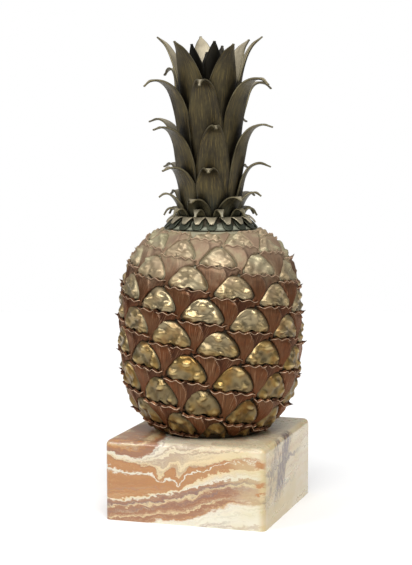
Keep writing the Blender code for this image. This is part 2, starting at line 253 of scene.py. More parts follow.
@dataclass(frozen=True)
class GoldenEye:
    """Golden bronze eyes: crowns pale from wear and a painted highlight, folds olive brown, verdigris up
    high.
    """

    pale: Colour = (0.54, 0.41, 0.185)
    gold: Colour = (0.26, 0.168, 0.054)
    amber: Colour = (0.21, 0.105, 0.028)
    silver: Colour = (0.21, 0.175, 0.100)
    hollow: Colour = (0.065, 0.042, 0.017)
    verdigris: Colour = (0.36, 0.33, 0.20)
    mauve: Colour = (0.36, 0.275, 0.180)
    dusty: Colour = (0.42, 0.345, 0.215)
    dim: Colour = (0.080, 0.047, 0.015)
    outline: Colour = (0.46, 0.42, 0.27)
    tarnish: Colour = (0.150, 0.125, 0.072)
    rim_from: float = 0.130
    high_from: float = 0.172
    high_to: float = 0.214
    ragged: float = 0.03

    def make(self) -> bpy.types.Material:
        """Returns the material."""
        paint = Paint("golden_eye_bronze")
        place = paint.place()
        height = paint.split(place)[2]
        swell = paint.measure("swell")
        sunken = paint.measure("sunken")
        blotch = paint.noise(place, 95.0, 3.0, 0.6)
        cloud = paint.noise(place, 40.0, 2.0, 0.5)
        base = paint.mix(paint.ramp(blotch, 0.42, 0.68), self.gold, self.amber)
        base = paint.mix(paint.ramp(cloud - 0.25 * swell, 0.34, 0.52, 0.0, 0.75), base, self.silver)
        # Pale on the lumps' crowns: partly wear, partly a painted highlight.
        base = paint.mix(paint.ramp(swell + 0.4 * blotch, 0.70, 1.15, 0.0, 0.8), base, self.pale)
        base = paint.mix(paint.ramp(swell, 0.30, 0.0, 0.0, 0.6), base, self.hollow)
        # Darker towards the fruit's foot: painted shade under its belly.
        base = paint.mix(paint.ramp(height, 0.125, 0.075, 0.0, 0.45), base, self.dim)
        base = paint.mix(paint.ramp(height + 0.04 * cloud, 0.140, 0.200, 0.0, 0.5), base, self.dusty)
        up_high = paint.high_up(height, blotch, self.high_from, self.high_to, self.ragged)
        base = paint.mix(up_high * 0.72, base, self.mauve)
        base = paint.mix(up_high * paint.ramp(cloud + 0.3 * blotch, 0.56, 0.80) * 0.8, base, self.verdigris)
        # Where the eye sinks into the groove: an olive tarnish on its rim, then near-black painted shade.
        base = paint.mix(paint.ramp(sunken, 0.05, 0.45, 0.0, 0.8), base, self.tarnish)
        base = paint.mix(paint.ramp(sunken, 0.55, 1.0), base, self.hollow)
        rim = paint.ramp(sunken, 0.35, 0.9) * paint.ramp(height, self.rim_from, self.high_to)
        base = paint.mix(rim * 0.85, base, self.outline)
        rough = paint.ramp(blotch, 0.35, 0.7, 0.30, 0.46) + up_high * 0.14 + sunken * 0.2
        grain = paint.noise(place, 420.0, 4.0, 0.65) + 0.5 * paint.noise(place, 1500.0, 2.0)
        normal = paint.bump(grain, 0.20, 0.0006)
        metal = 0.92 - up_high * 0.4 - paint.ramp(sunken, 0.4, 0.9) * 0.4
        return paint.finish(Base_Color=base, Roughness=rough, Metallic=metal, Normal=normal)


@dataclass(frozen=True)
class RustyBract:
    """Combed reddish brown bronze on the bracts: lip and crest pale from wear and painted highlight, painted
    shade by the keel.
    """

    brown: Colour = (0.062, 0.024, 0.011)
    red: Colour = (0.128, 0.038, 0.012)
    dusk: Colour = (0.035, 0.012, 0.007)
    rubbed: Colour = (0.50, 0.355, 0.245)
    bloom_and_sheen: Colour = (0.165, 0.074, 0.030)
    comb: Colour = (0.36, 0.215, 0.130)
    dusty: Colour = (0.30, 0.215, 0.145)
    groove: Colour = (0.052, 0.032, 0.018)
    verdigris: Colour = (0.33, 0.30, 0.18)
    outline: Colour = (0.44, 0.39, 0.26)
    gleam: Colour = (1.0, 0.72, 0.56)
    high_from: float = 0.178
    high_to: float = 0.222
    ragged: float = 0.03

    def make(self) -> bpy.types.Material:
        """Returns the material."""
        paint = Paint("rusty_bract_bronze")
        place = paint.place()
        height = paint.split(place)[2]
        worn = paint.measure("worn")
        sunken = paint.measure("sunken")
        combing = paint.noise(paint.stretch(paint.surface(), (46.0, 1.6, 1.0)), 1.0, 2.5, 0.6)
        cloud = paint.noise(place, 70.0, 3.0, 0.6)
        lee = paint.measure("lee")
        base = paint.mix(paint.ramp(cloud, 0.36, 0.66), self.brown, self.red)
        # The side of the keel away from the light takes painted shade; the pale patina on the other side is
        # partly a painted sheen.
        base = paint.mix(paint.ramp(cloud, 0.3, 0.65, 0.55, 0.15) * (1.0 - lee), base, self.bloom_and_sheen)
        base = paint.mix(lee * 0.75, base, self.dusk)
        base = paint.mix(paint.ramp(combing, 0.50, 0.74) * (0.75 - 0.5 * lee), base, self.bloom_and_sheen)
        base = paint.mix(paint.ramp(combing, 0.58, 0.70) * (0.60 - 0.45 * lee), base, self.comb)
        base = paint.mix(paint.ramp(combing, 0.48, 0.30, 0.0, 0.9), base, self.dusk)
        up_high = paint.high_up(height, cloud, self.high_from, self.high_to, self.ragged)
        base = paint.mix(up_high * 0.8, base, self.dusty)
        base = paint.mix(up_high * paint.ramp(cloud, 0.42, 0.66) * 0.6, base, self.verdigris)
        # Painted shade in the grooves, under the lip and far down; up high the rim takes a pale verdigris
        # outline instead.
        base = paint.mix(paint.ramp(sunken, 0.30, 0.95) * (1.0 - up_high), base, self.groove)
        base = paint.mix(paint.ramp(sunken, 0.30, 0.80) * up_high * 0.8, base, self.outline)
        # Pale on the lip and the keel's crest: partly wear, partly a painted highlight.
        base = paint.mix(paint.ramp(worn + 0.35 * cloud, 0.45, 1.0), base, self.rubbed)
        rough = paint.ramp(cloud, 0.3, 0.7, 0.36, 0.52) + up_high * 0.12
        normal = paint.bump(combing + 0.35 * paint.noise(place, 900.0, 2.0), 0.55, 0.0005)
        metal = paint.ramp(worn, 0.2, 0.9, 0.68, 0.9) - up_high * 0.4
        return paint.finish(Base_Color=base, Roughness=rough, Metallic=metal, Normal=normal,
                            Specular_Tint=self.gleam)


@dataclass(frozen=True)
class DarkGround:
    """The ground below the eyes and bracts: brownish black, a painted shade in the grooves, pale with
    verdigris near the neck.
    """

    name: str = "dark_ground_bronze"
    black: Colour = (0.030, 0.019, 0.011)
    green: Colour = (0.055, 0.046, 0.027)
    verdigris: Colour = (0.28, 0.255, 0.170)
    high_from: float = 0.180
    high_to: float = 0.208
    ragged: float = 0.02

    def make(self) -> bpy.types.Material:
        """Returns the material."""
        paint = Paint(self.name)
        place = paint.place()
        height = paint.split(place)[2]
        cloud = paint.noise(place, 120.0, 3.0, 0.6)
        base = paint.mix(paint.ramp(cloud, 0.4, 0.7), self.black, self.green)
        up_high = paint.high_up(height, cloud, self.high_from, self.high_to, self.ragged)
        base = paint.mix(up_high, base, self.verdigris)
        normal = paint.bump(paint.noise(place, 500.0, 3.0, 0.6), 0.4, 0.0006)
        return paint.finish(Base_Color=base, Roughness=0.6, Metallic=0.7 - up_high * 0.5, Normal=normal)


@dataclass(frozen=True)
class LeafBronze:
    """Olive brown bronze on the leaves, combed lengthwise, with golden flecks, rubbed edges and painted
    shadow.

    The hidden faces of a leaf turn paler and greyer, as the insides of the curled tips are.
    """

    name: str = "olive_leaf_bronze"
    olive: Colour = (0.080, 0.064, 0.030)
    umber: Colour = (0.034, 0.027, 0.015)
    fleck: Colour = (0.25, 0.178, 0.056)
    green: Colour = (0.040, 0.051, 0.034)
    rubbed: Colour = (0.165, 0.14, 0.08)
    gap_shadow_black: Colour = (0.006, 0.005, 0.003)
    metallic: float = 0.7
    green_from: float = 0.222
    green_up_to: float = 0.262
    ragged: float = 0.02

    def make(self) -> bpy.types.Material:
        """Returns the material."""
        paint = Paint(self.name)
        place = paint.place()
        height = paint.split(place)[2]
        rim = paint.measure("rim")
        combing = paint.noise(paint.stretch(paint.surface(), (34.0, 2.2, 1.0)), 1.0, 3.0, 0.62)
        fine = paint.noise(paint.stretch(paint.surface(), (120.0, 5.0, 1.0)), 1.0, 2.0, 0.6)
        cloud = paint.noise(place, 55.0, 3.0, 0.6)
        base = paint.mix(paint.ramp(cloud, 0.34, 0.66), self.umber, self.olive)
        base = paint.mix(paint.ramp(combing + 0.5 * fine, 0.74, 1.02, 0.0, 0.75), base, self.fleck)
        base = paint.mix(paint.ramp(fine, 0.46, 0.28, 0.0, 0.5), base, self.umber)
        up_high = paint.high_up(height, cloud, self.green_from, self.green_up_to, self.ragged)
        base = paint.mix(0.8 - up_high * 0.8, base, self.green)
        base = paint.mix(paint.ramp(rim + 0.5 * cloud, 1.02, 1.32), base, self.rubbed)
        # Painted shadow where a leaf in front hides this one.
        base = paint.mix(paint.measure("deep") * 0.9, base, self.gap_shadow_black)
        rough = paint.ramp(cloud, 0.3, 0.7, 0.36, 0.50)
        normal = paint.bump(combing + 0.5 * fine, 0.35, 0.0004)
        return paint.finish(Base_Color=base, Roughness=rough, Metallic=self.metallic, Normal=normal)


@dataclass(frozen=True)
class BandedOnyx:
    """Honey onyx: bands that lie level at the left and rise to the right, cream at the right and below.

    Each band ends at a height, in millimetres, that changes across the block. The bands from the bottom are
    white, streaky brown, a cream line that widens, honey, a cream line with honey over it, cream, and brown.
    """

    honey: Colour = (0.38, 0.175, 0.058)
    tan: Colour = (0.33, 0.170, 0.085)
    rust: Colour = (0.27, 0.118, 0.055)
    cream: Colour = (0.62, 0.49, 0.28)
    white: Colour = (0.64, 0.60, 0.485)
    plum: Colour = (0.19, 0.115, 0.100)
    smoke: Colour = (0.120, 0.070, 0.052)
    lime: Colour = (0.53, 0.47, 0.27)
    ivory: Colour = (0.485, 0.34, 0.135)
    bands: int = 7
    deepest: float = -30.0
    tallest: float = 90.0
    half_across: float = 65.0
    front: float = -0.069
    skew: float = 0.16
    # A colour ramp holds 0 to 1, so a height in it is counted from the lowest, in shares of the range.
    lowest_end: float = -10.0
    range_of_ends: float = 100.0
    places: tuple[float, ...] = (-65, -38, -27, -20, -13, -8, -3, 3, 20, 39, 65)
    lower_ends: tuple[tuple[float, ...], ...] = (
        (-4.0, -1.0, 1.0, 1.5, 2.5, 3.0, 3.5, 5.0, 12.5, 20.5, 22.0),
        (15.0, 17.5, 20.0, 21.5, 23.0, 24.0, 25.5, 28.0, 35.0, 39.5, 40.0),
        (16.6, 19.5, 22.0, 23.5, 25.5, 26.5, 28.0, 32.0, 41.5, 46.5, 50.0))
    upper_ends: tuple[tuple[float, ...], ...] = (
        (39.6, 38.0, 36.0, 32.5, 34.0, 33.5, 31.0, 39.0, 45.5, 53.0, 53.0),
        (50.0, 46.5, 44.0, 35.0, 43.0, 43.0, 35.5, 45.5, 49.0, 54.5, 54.5),
        (54.5, 51.5, 56.0, 66.0, 76.0, 78.0, 80.0, 80.0, 80.0, 80.0, 80.0))
    # Amber spots beside the front's right edge: how high they lie and half their height, in millimetres.
    spots: tuple[tuple[float, float], ...] = ((51.0, 2.6), (36.0, 1.6), (29.0, 1.0))
    spots_across: float = 61.0
    spots_half_width: float = 5.0

    def _ends(self, paint: Paint, along: Wire, curves: tuple[tuple[float, ...], ...]) -> tuple[Wire, ...]:
        """Returns the heights, in millimetres, at which three bands end."""
        width = 2 * self.half_across
        stops = [((place + self.half_across) / width,
                  tuple((height - self.lowest_end) / self.range_of_ends for height in ends))
                 for place, ends in zip(self.places, zip(*curves))]
        ramp = paint.node("ShaderNodeValToRGB", {"stops": stops, "smoothing": "LINEAR"},
                          {"Fac": (along * (1.0 / MM) + self.half_across) * (1.0 / width)})
        return tuple(end * self.range_of_ends + self.lowest_end for end in paint.split(ramp))

    def _band(self, paint: Paint, along: Wire, level: Wire) -> Wire:
        """Counts the bands up to a place.

        Args:
            paint: the finish's nodes.
            along: how far across the block the place lies, in metres.
            level: its height, in millimetres, with the bands' unevenness.

        Returns:
            The number of bands below the place, with the share of its own band that is below it.
        """
        ends = (*self._ends(paint, along, self.lower_ends), *self._ends(paint, along, self.upper_ends),
                self.tallest)
        band = paint.share(level, self.deepest, ends[0])
        for low, high in zip(ends, ends[1:]):
            band = band + paint.share(level, low, high)
        return band

    def _stops(self) -> list[tuple[float, Colour]]:
        """Returns the colours up through all bands, each with its place from 0 to 1."""
        honey, tan, rust, cream = self.honey, self.tan, self.rust, self.cream
        white, plum = self.white, self.plum
        shades = (
            (0.00, white), (0.96, white),
            (1.02, honey), (1.10, tan), (1.22, rust), (1.28, cream), (1.34, tan), (1.50, rust), (1.58, plum),
            (1.66, tan), (1.74, cream), (1.80, plum), (1.97, tan),
            (2.05, white), (2.92, cream),
            (3.02, honey), (3.30, honey), (3.38, tan), (3.46, honey), (3.97, honey),
            (4.04, white), (4.20, white), (4.28, honey), (4.86, honey), (4.95, rust),
            (5.05, cream), (5.90, white),
            (6.02, rust), (6.16, honey), (6.24, cream), (6.30, honey), (6.50, tan))
        return [(place / self.bands, shade) for place, shade in shades]

    def make(self) -> bpy.types.Material:
        """Returns the material."""
        paint = Paint("banded_onyx")
        place = paint.place()
        across, depth, height = paint.split(place)
        wide = paint.noise(paint.stretch(place, (1.0, 1.0, 1.6)), 30.0, 2.0, 0.5) - 0.5
        close = paint.noise(paint.stretch(place, (1.0, 1.0, 1.8)), 110.0, 4.0, 0.66) - 0.5
        along = across + self.skew * (depth - self.front) + 0.014 * wide
        level = height * (1.0 / MM) + 6.0 * wide + 13.0 * close
        band = self._band(paint, along, level)
        streaked = paint.join(across * 11.0, depth * 11.0, band * 9.0 + level * 0.10)
        streaks = paint.noise(streaked, 1.0, 3.0, 0.62)
        lined = paint.join(across * 15.0, depth * 15.0, band * 24.0 + level * 0.35)
        lines = paint.noise(lined, 1.0, 2.0, 0.6)
        base = self._banded(paint, band, streaks, lines)
        pale = paint.mix(paint.ramp(wide, -0.12, 0.10), self.white, self.lime)
        pale = paint.mix(paint.ramp(streaks, 0.46, 0.62, 0.0, 0.5), pale, self.cream)
        right = across + 0.050 * wide + 0.03 * close
        side = paint.ramp(across, 0.058, 0.0645)
        base = paint.mix(paint.ramp(right, 0.032, 0.060, 0.0, 0.45), base, pale)
        base = paint.mix(side, base, paint.mix(0.55, pale, self.ivory))
        aside = paint.near(across * (1.0 / MM) - self.spots_across, self.spots_half_width)
        for high, half in self.spots:
            base = paint.mix(aside * paint.near(level - high, half), base, self.honey)
        base = paint.mix(self._veins(paint, place, close, streaks) * side, base, self.smoke)
        rough = paint.ramp(streaks, 0.3, 0.7, 0.26, 0.36)
        normal = paint.bump(close + streaks * 0.3, 0.08, 0.0006)
        return paint.finish(Base_Color=base, Roughness=rough, Normal=normal, IOR=1.55, Subsurface_Weight=0.12,
                            Subsurface_Scale=0.004, Coat_Weight=0.3, Coat_Roughness=0.08)

    def _banded(self, paint: Paint, band: Wire, streaks: Wire, lines: Wire) -> Wire:
        """Colours the bands.

        Args:
            paint: the finish's nodes.
            band: which band a place is in.
            streaks: noise drawn out along the bands.
            lines: finer noise drawn out along the bands.

        Returns:
            The bands' colour, with streaks of the neighbouring colours in it.
        """
        base = paint.shades(band * (1.0 / self.bands), self._stops())
        lined = paint.ramp(band, 0.9, 1.05) * paint.ramp(band, 2.05, 1.9)
        base = paint.mix(paint.ramp(lines, 0.54, 0.64) * (lined * 0.35 + 0.2), base, self.cream)
        base = paint.mix(paint.ramp(lines, 0.44, 0.34) * (lined * 0.40 + 0.2), base, self.plum)
        base = paint.mix(paint.ramp(streaks, 0.47, 0.62) * (lined * 0.5 + 0.25), base, self.rust)
        base = paint.mix(paint.ramp(streaks, 0.42, 0.30) * (lined * 0.35 + 0.2), base, self.cream)
        cloudy = paint.ramp(band, 4.9, 5.1).larger(paint.ramp(band, 1.0, 0.9))
        return paint.mix(cloudy * paint.ramp(streaks, 0.50, 0.60, 0.0, 0.35), base, self.plum)

    def _veins(self, paint: Paint, place: Wire, close: Wire, streaks: Wire) -> Wire:
        """Returns how smoky the right face is: a leaning vein, and small zigzags that cross it.

        Args:
            paint: the finish's nodes.
            place: the Object coordinates.
            close: noise of small cells, about nought.
            streaks: noise that breaks the veins up.

        Returns:
            The share of smoke, 0 to 1.
        """
        _, depth, height = paint.split(place)
        fold = paint.noise(place, 48.0, 1.0, 0.4) - 0.5
        ragged = paint.noise(paint.stretch(place, (1.0, 1.0, 0.45)), 260.0, 3.0, 0.65)
        upright = (depth - 0.7 * height) * (1.0 / MM) + 47.0 + 20.0 * fold + 26.0 * close
        smoke = paint.near(upright, 18.0) * paint.ramp(ragged, 0.30, 0.60, 0.1, 1.2)
        smoke = smoke.larger(paint.near(upright + 26.0, 10.0) * paint.ramp(ragged, 0.36, 0.60) * 0.8)
        jagged = height * (1.0 / MM) + 9.0 * fold + 17.0 * close
        zigzag = paint.near(jagged - 44.0, 2.4).larger(paint.near(jagged - 24.0, 1.8) * 0.7)
        broken = paint.ramp(streaks, 0.36, 0.52) * paint.near(upright, 62.0)
        return (smoke * paint.ramp(height, 0.006, 0.034)).larger(zigzag * broken)


@dataclass(frozen=True)
class PaleFloor:
    """A plain, nearly white floor."""

    white: Colour = (0.90, 0.90, 0.90)

    def make(self) -> bpy.types.Material:
        """Returns the material."""
        paint = Paint("pale_floor")
        faint = paint.ramp(paint.noise(paint.place(), 3.0), 0.3, 0.7, 0.0, 0.03)
        base = paint.mix(faint, self.white, (0.80, 0.80, 0.80))
        return paint.finish(Base_Color=base, Roughness=0.7)


def around(bearing: float, radius: float, height: float) -> Vector:
    """Returns the point at a bearing, a distance from the axis and a height."""
    angle = math.radians(bearing)
    return Vector((radius * math.sin(angle), -radius * math.cos(angle), height))


def add_object(name: str, data: bpy.types.ID) -> bpy.types.Object:
    """Returns a new object in the scene that holds a mesh, a lamp or a camera."""
    made = bpy.data.objects.new(name, data)
    bpy.context.scene.collection.objects.link(made)
    return made


def select(*pieces: bpy.types.Object) -> None:
    """Selects some pieces and nothing else. The first becomes the active one."""
    bpy.ops.object.select_all(action="DESELECT")
    for piece in pieces:
        piece.select_set(True)
    bpy.context.view_layer.objects.active = pieces[0]


def claim(piece: bpy.types.Object, nodes: Sequence[str]) -> None:
    """Makes a piece part of the object and reports it.

    Args:
        piece: the piece, finished and dressed.
        nodes: the names of the nodes that it replaces.
    """
    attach(piece, BODY)
    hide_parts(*nodes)
    LOG.info("%s: %d faces", piece.name, len(piece.data.polygons))


def make_piece(name: str, mesh: bpy.types.Mesh, nodes: Sequence[str],
               materials: Sequence[bpy.types.Material]) -> bpy.types.Object:
    """Adds a finished mesh to the scene as one piece of the object.

    Args:
        name: the piece's name.
        mesh: its mesh, in metres.
        nodes: the names of the nodes that it replaces.
        materials: its materials, in slot order.

    Returns:
        The object.
    """
    mesh.shade_smooth()
    for material in materials:
        mesh.materials.append(material)
    piece = add_object(name, mesh)
    claim(piece, nodes)
    return piece


def thicken(sheet: bpy.types.Object, thickness: float, offset: float, inside: int = 0, rim: int = 0) -> None:
    """Gives a sheet its thickness.

    Args:
        sheet: an open sheet.
        thickness: how thick it becomes, in millimetres.
        offset: where the thickness goes: 0 is half to each side, -1 all to the inside.
        inside: how many slots after the sheet's own the inner face's material comes.
        rim: the same for the rim's material.
    """
    wall = sheet.modifiers.new("sheet", "SOLIDIFY")
    wall.thickness = thickness * MM
    wall.offset = offset
    wall.material_offset = inside
    wall.material_offset_rim = rim
    select(sheet)
    bpy.ops.object.modifier_apply(modifier=wall.name)


def turn_profile(name: str, profile: Sequence[tuple[float, float]], steps: int,
                 closed: bool = False) -> bpy.types.Mesh:
    """Turns a profile once round the axis.

    Args:
        name: the mesh's name.
        profile: its points as (radius, height), in millimetres.
        steps: how many faces go round.
        closed: whether the last point joins the first.

    Returns:
        The mesh, in metres.
    """
    bm = bmesh.new()
    line = [bm.verts.new(around(0.0, radius, height) * MM) for radius, height in profile]
    edges = [bm.edges.new(pair) for pair in zip(line, line[1:] + line[:closed])]
    bmesh.ops.spin(bm, geom=line + edges, cent=(0, 0, 0), axis=(0, 0, 1), angle=2 * math.pi, steps=steps,
                   use_merge=True)
    bmesh.ops.remove_doubles(bm, verts=bm.verts, dist=MERGE_DISTANCE)
    bmesh.ops.recalc_face_normals(bm, faces=bm.faces)
    mesh = bpy.data.meshes.new(name)
    bm.to_mesh(mesh)
    bm.free()
    return mesh


@dataclass(frozen=True)
class Patch:
    """Points in millimetres, with their UV coordinates and the numbers kept on them, by name."""

    points: np.ndarray
    marks: np.ndarray
    measures: Mapping[str, np.ndarray]


def make_patch(points: np.ndarray, across: np.ndarray, up: np.ndarray, **measures: np.ndarray) -> Patch:
    """Makes a patch from grids.

    Args:
        points: the x, y and z of each point.
        across: the first UV coordinate of each.
        up: the second.
        measures: the numbers kept on the points.

    Returns:
        The patch, row after row.
    """
    marks = np.stack((across, up), axis=-1)
    return Patch(points.reshape(-1, 3), marks.reshape(-1, 2),
                 {title: numbers.ravel() for title, numbers in measures.items()})


def patch_mesh(name: str, patch: Patch, faces: np.ndarray) -> bpy.types.Mesh:
    """Makes a mesh, in metres, from a patch and four point numbers for each face."""
    mesh = bpy.data.meshes.new(name)
    mesh.from_pydata((patch.points * MM).tolist(), [], faces.tolist())
    layer = mesh.uv_layers.new(name="surface")
    corners = np.empty(len(mesh.loops), dtype=np.int32)
    mesh.loops.foreach_get("vertex_index", corners)
    layer.data.foreach_set("uv", patch.marks[corners].astype(np.float32).ravel())
    for title, numbers in patch.measures.items():
        attribute = mesh.attributes.new(title, "FLOAT", "POINT")
        attribute.data.foreach_set("value", numbers.astype(np.float32))
    return mesh


def grid_faces(columns: int, rows: int) -> np.ndarray:
    """Returns the faces of a grid of points whose rows run upwards, seen from outside."""
    first = np.arange(rows - 1)[:, None] * columns + np.arange(columns - 1)[None, :]
    first = first.ravel()
    return np.stack((first, first + 1, first + 1 + columns, first + columns), axis=1)


def hump(across: np.ndarray, up: np.ndarray, place: tuple[float, float],
         size: tuple[float, float]) -> np.ndarray:
    """Returns a rounded hump, 1 high, at a place."""
    return np.exp(-((across - place[0]) / size[0]) ** 2 - ((up - place[1]) / size[1]) ** 2)


@dataclass
class Surface:
    """The spiral that all fruitlets follow and the outline that they lie on, in millimetres."""

    foot: float
    neck: float
    turn: float = -82.3
    rise: float = 2.0
    spread_low: float = 0.0045
    middle_rank: int = 26
    first_bearing: float = 2.1
    width_per_degree: float = 1.28
    waist_radius: float = 74.6
    waist_height: float = 142.0
    upper_reach: float = 92.1
    upper_power: float = 3.0
    lower_reach: float = 88.5
    lower_power: float = 2.6
    shoulder_power: float = 0.4
    flat_to: float = 27.0
    step: float = 0.5
    softening: int = 9

    def __post_init__(self) -> None:
        """Walks the outline once: along the foot, up the side and over the neck."""
        heights = np.arange(self.foot, self.neck, self.step)
        radii = self.radius_at(heights)
        inward = np.arange(self.flat_to, radii[0], self.step)
        over = np.arange(radii[-1], self.flat_to, -self.step)
        radius = np.concatenate((inward, radii, over))
        height = np.concatenate((np.full(len(inward), self.foot), heights, np.full(len(over), self.neck)))
        length = np.concatenate(((0.0,), np.cumsum(np.hypot(np.diff(radius), np.diff(height)))))
        even = np.arange(0.0, length[-1], self.step)
        radius, height = np.interp(even, length, radius), np.interp(even, length, height)
        window = np.ones(self.softening) / self.softening
        middle = slice(self.softening // 2, -(self.softening // 2))
        radius[middle], height[middle] = (np.convolve(line, window, "valid") for line in (radius, height))
        along_radius, along_height = np.gradient(radius), np.gradient(height)
        size = np.hypot(along_radius, along_height)
        self.radius, self.height = radius, height
        self.out, self.up = along_height / size, -along_radius / size
        self.length = even - even[np.argmax(height >= self.waist_height)]

    def radius_at(self, height: np.ndarray) -> np.ndarray:
        """Returns the outline's radius at each height."""
        offset = height - self.waist_height
        upper = (np.maximum(offset, 0.0) / self.upper_reach) ** self.upper_power
        lower = (np.maximum(-offset, 0.0) / self.lower_reach) ** self.lower_power
        return self.waist_radius * (1.0 - upper - lower) ** self.shoulder_power

    def place(self, rank: float, across: np.ndarray, up: np.ndarray, above: np.ndarray) -> np.ndarray:
        """Returns the points at places beside a fruitlet.

        Args:
            rank: the fruitlet's number along the spiral.
            across: distances to the right of it.
            up: distances above it.
            above: heights over the outline.

        Returns:
            One row of x, y, z for each place.
        """
        offset = rank - up / self.rise - self.middle_rank
        length = -self.rise * offset * (1.0 + self.spread_low * np.maximum(offset, 0.0))
        radius, height, out, rise = (np.interp(length, self.length, line)
                                     for line in (self.radius, self.height, self.out, self.up))
        radius, height = radius + out * above, height + rise * above
        height = np.clip(height, self.foot, self.neck)
        bearing = np.radians(self.first_bearing + self.turn * rank + across / self.width_per_degree)
        return np.stack((radius * np.sin(bearing), -radius * np.cos(bearing), height), axis=-1)

    def neighbours(self, steps: Sequence[int]) -> list[tuple[float, float]]:
        """Returns how far (across, up) the fruitlets so many ranks on lie from a fruitlet."""
        turns = [(self.turn * step + 180.0) % 360.0 - 180.0 for step in steps]
        return [(turn * self.width_per_degree, -self.rise * step) for turn, step in zip(turns, steps)]


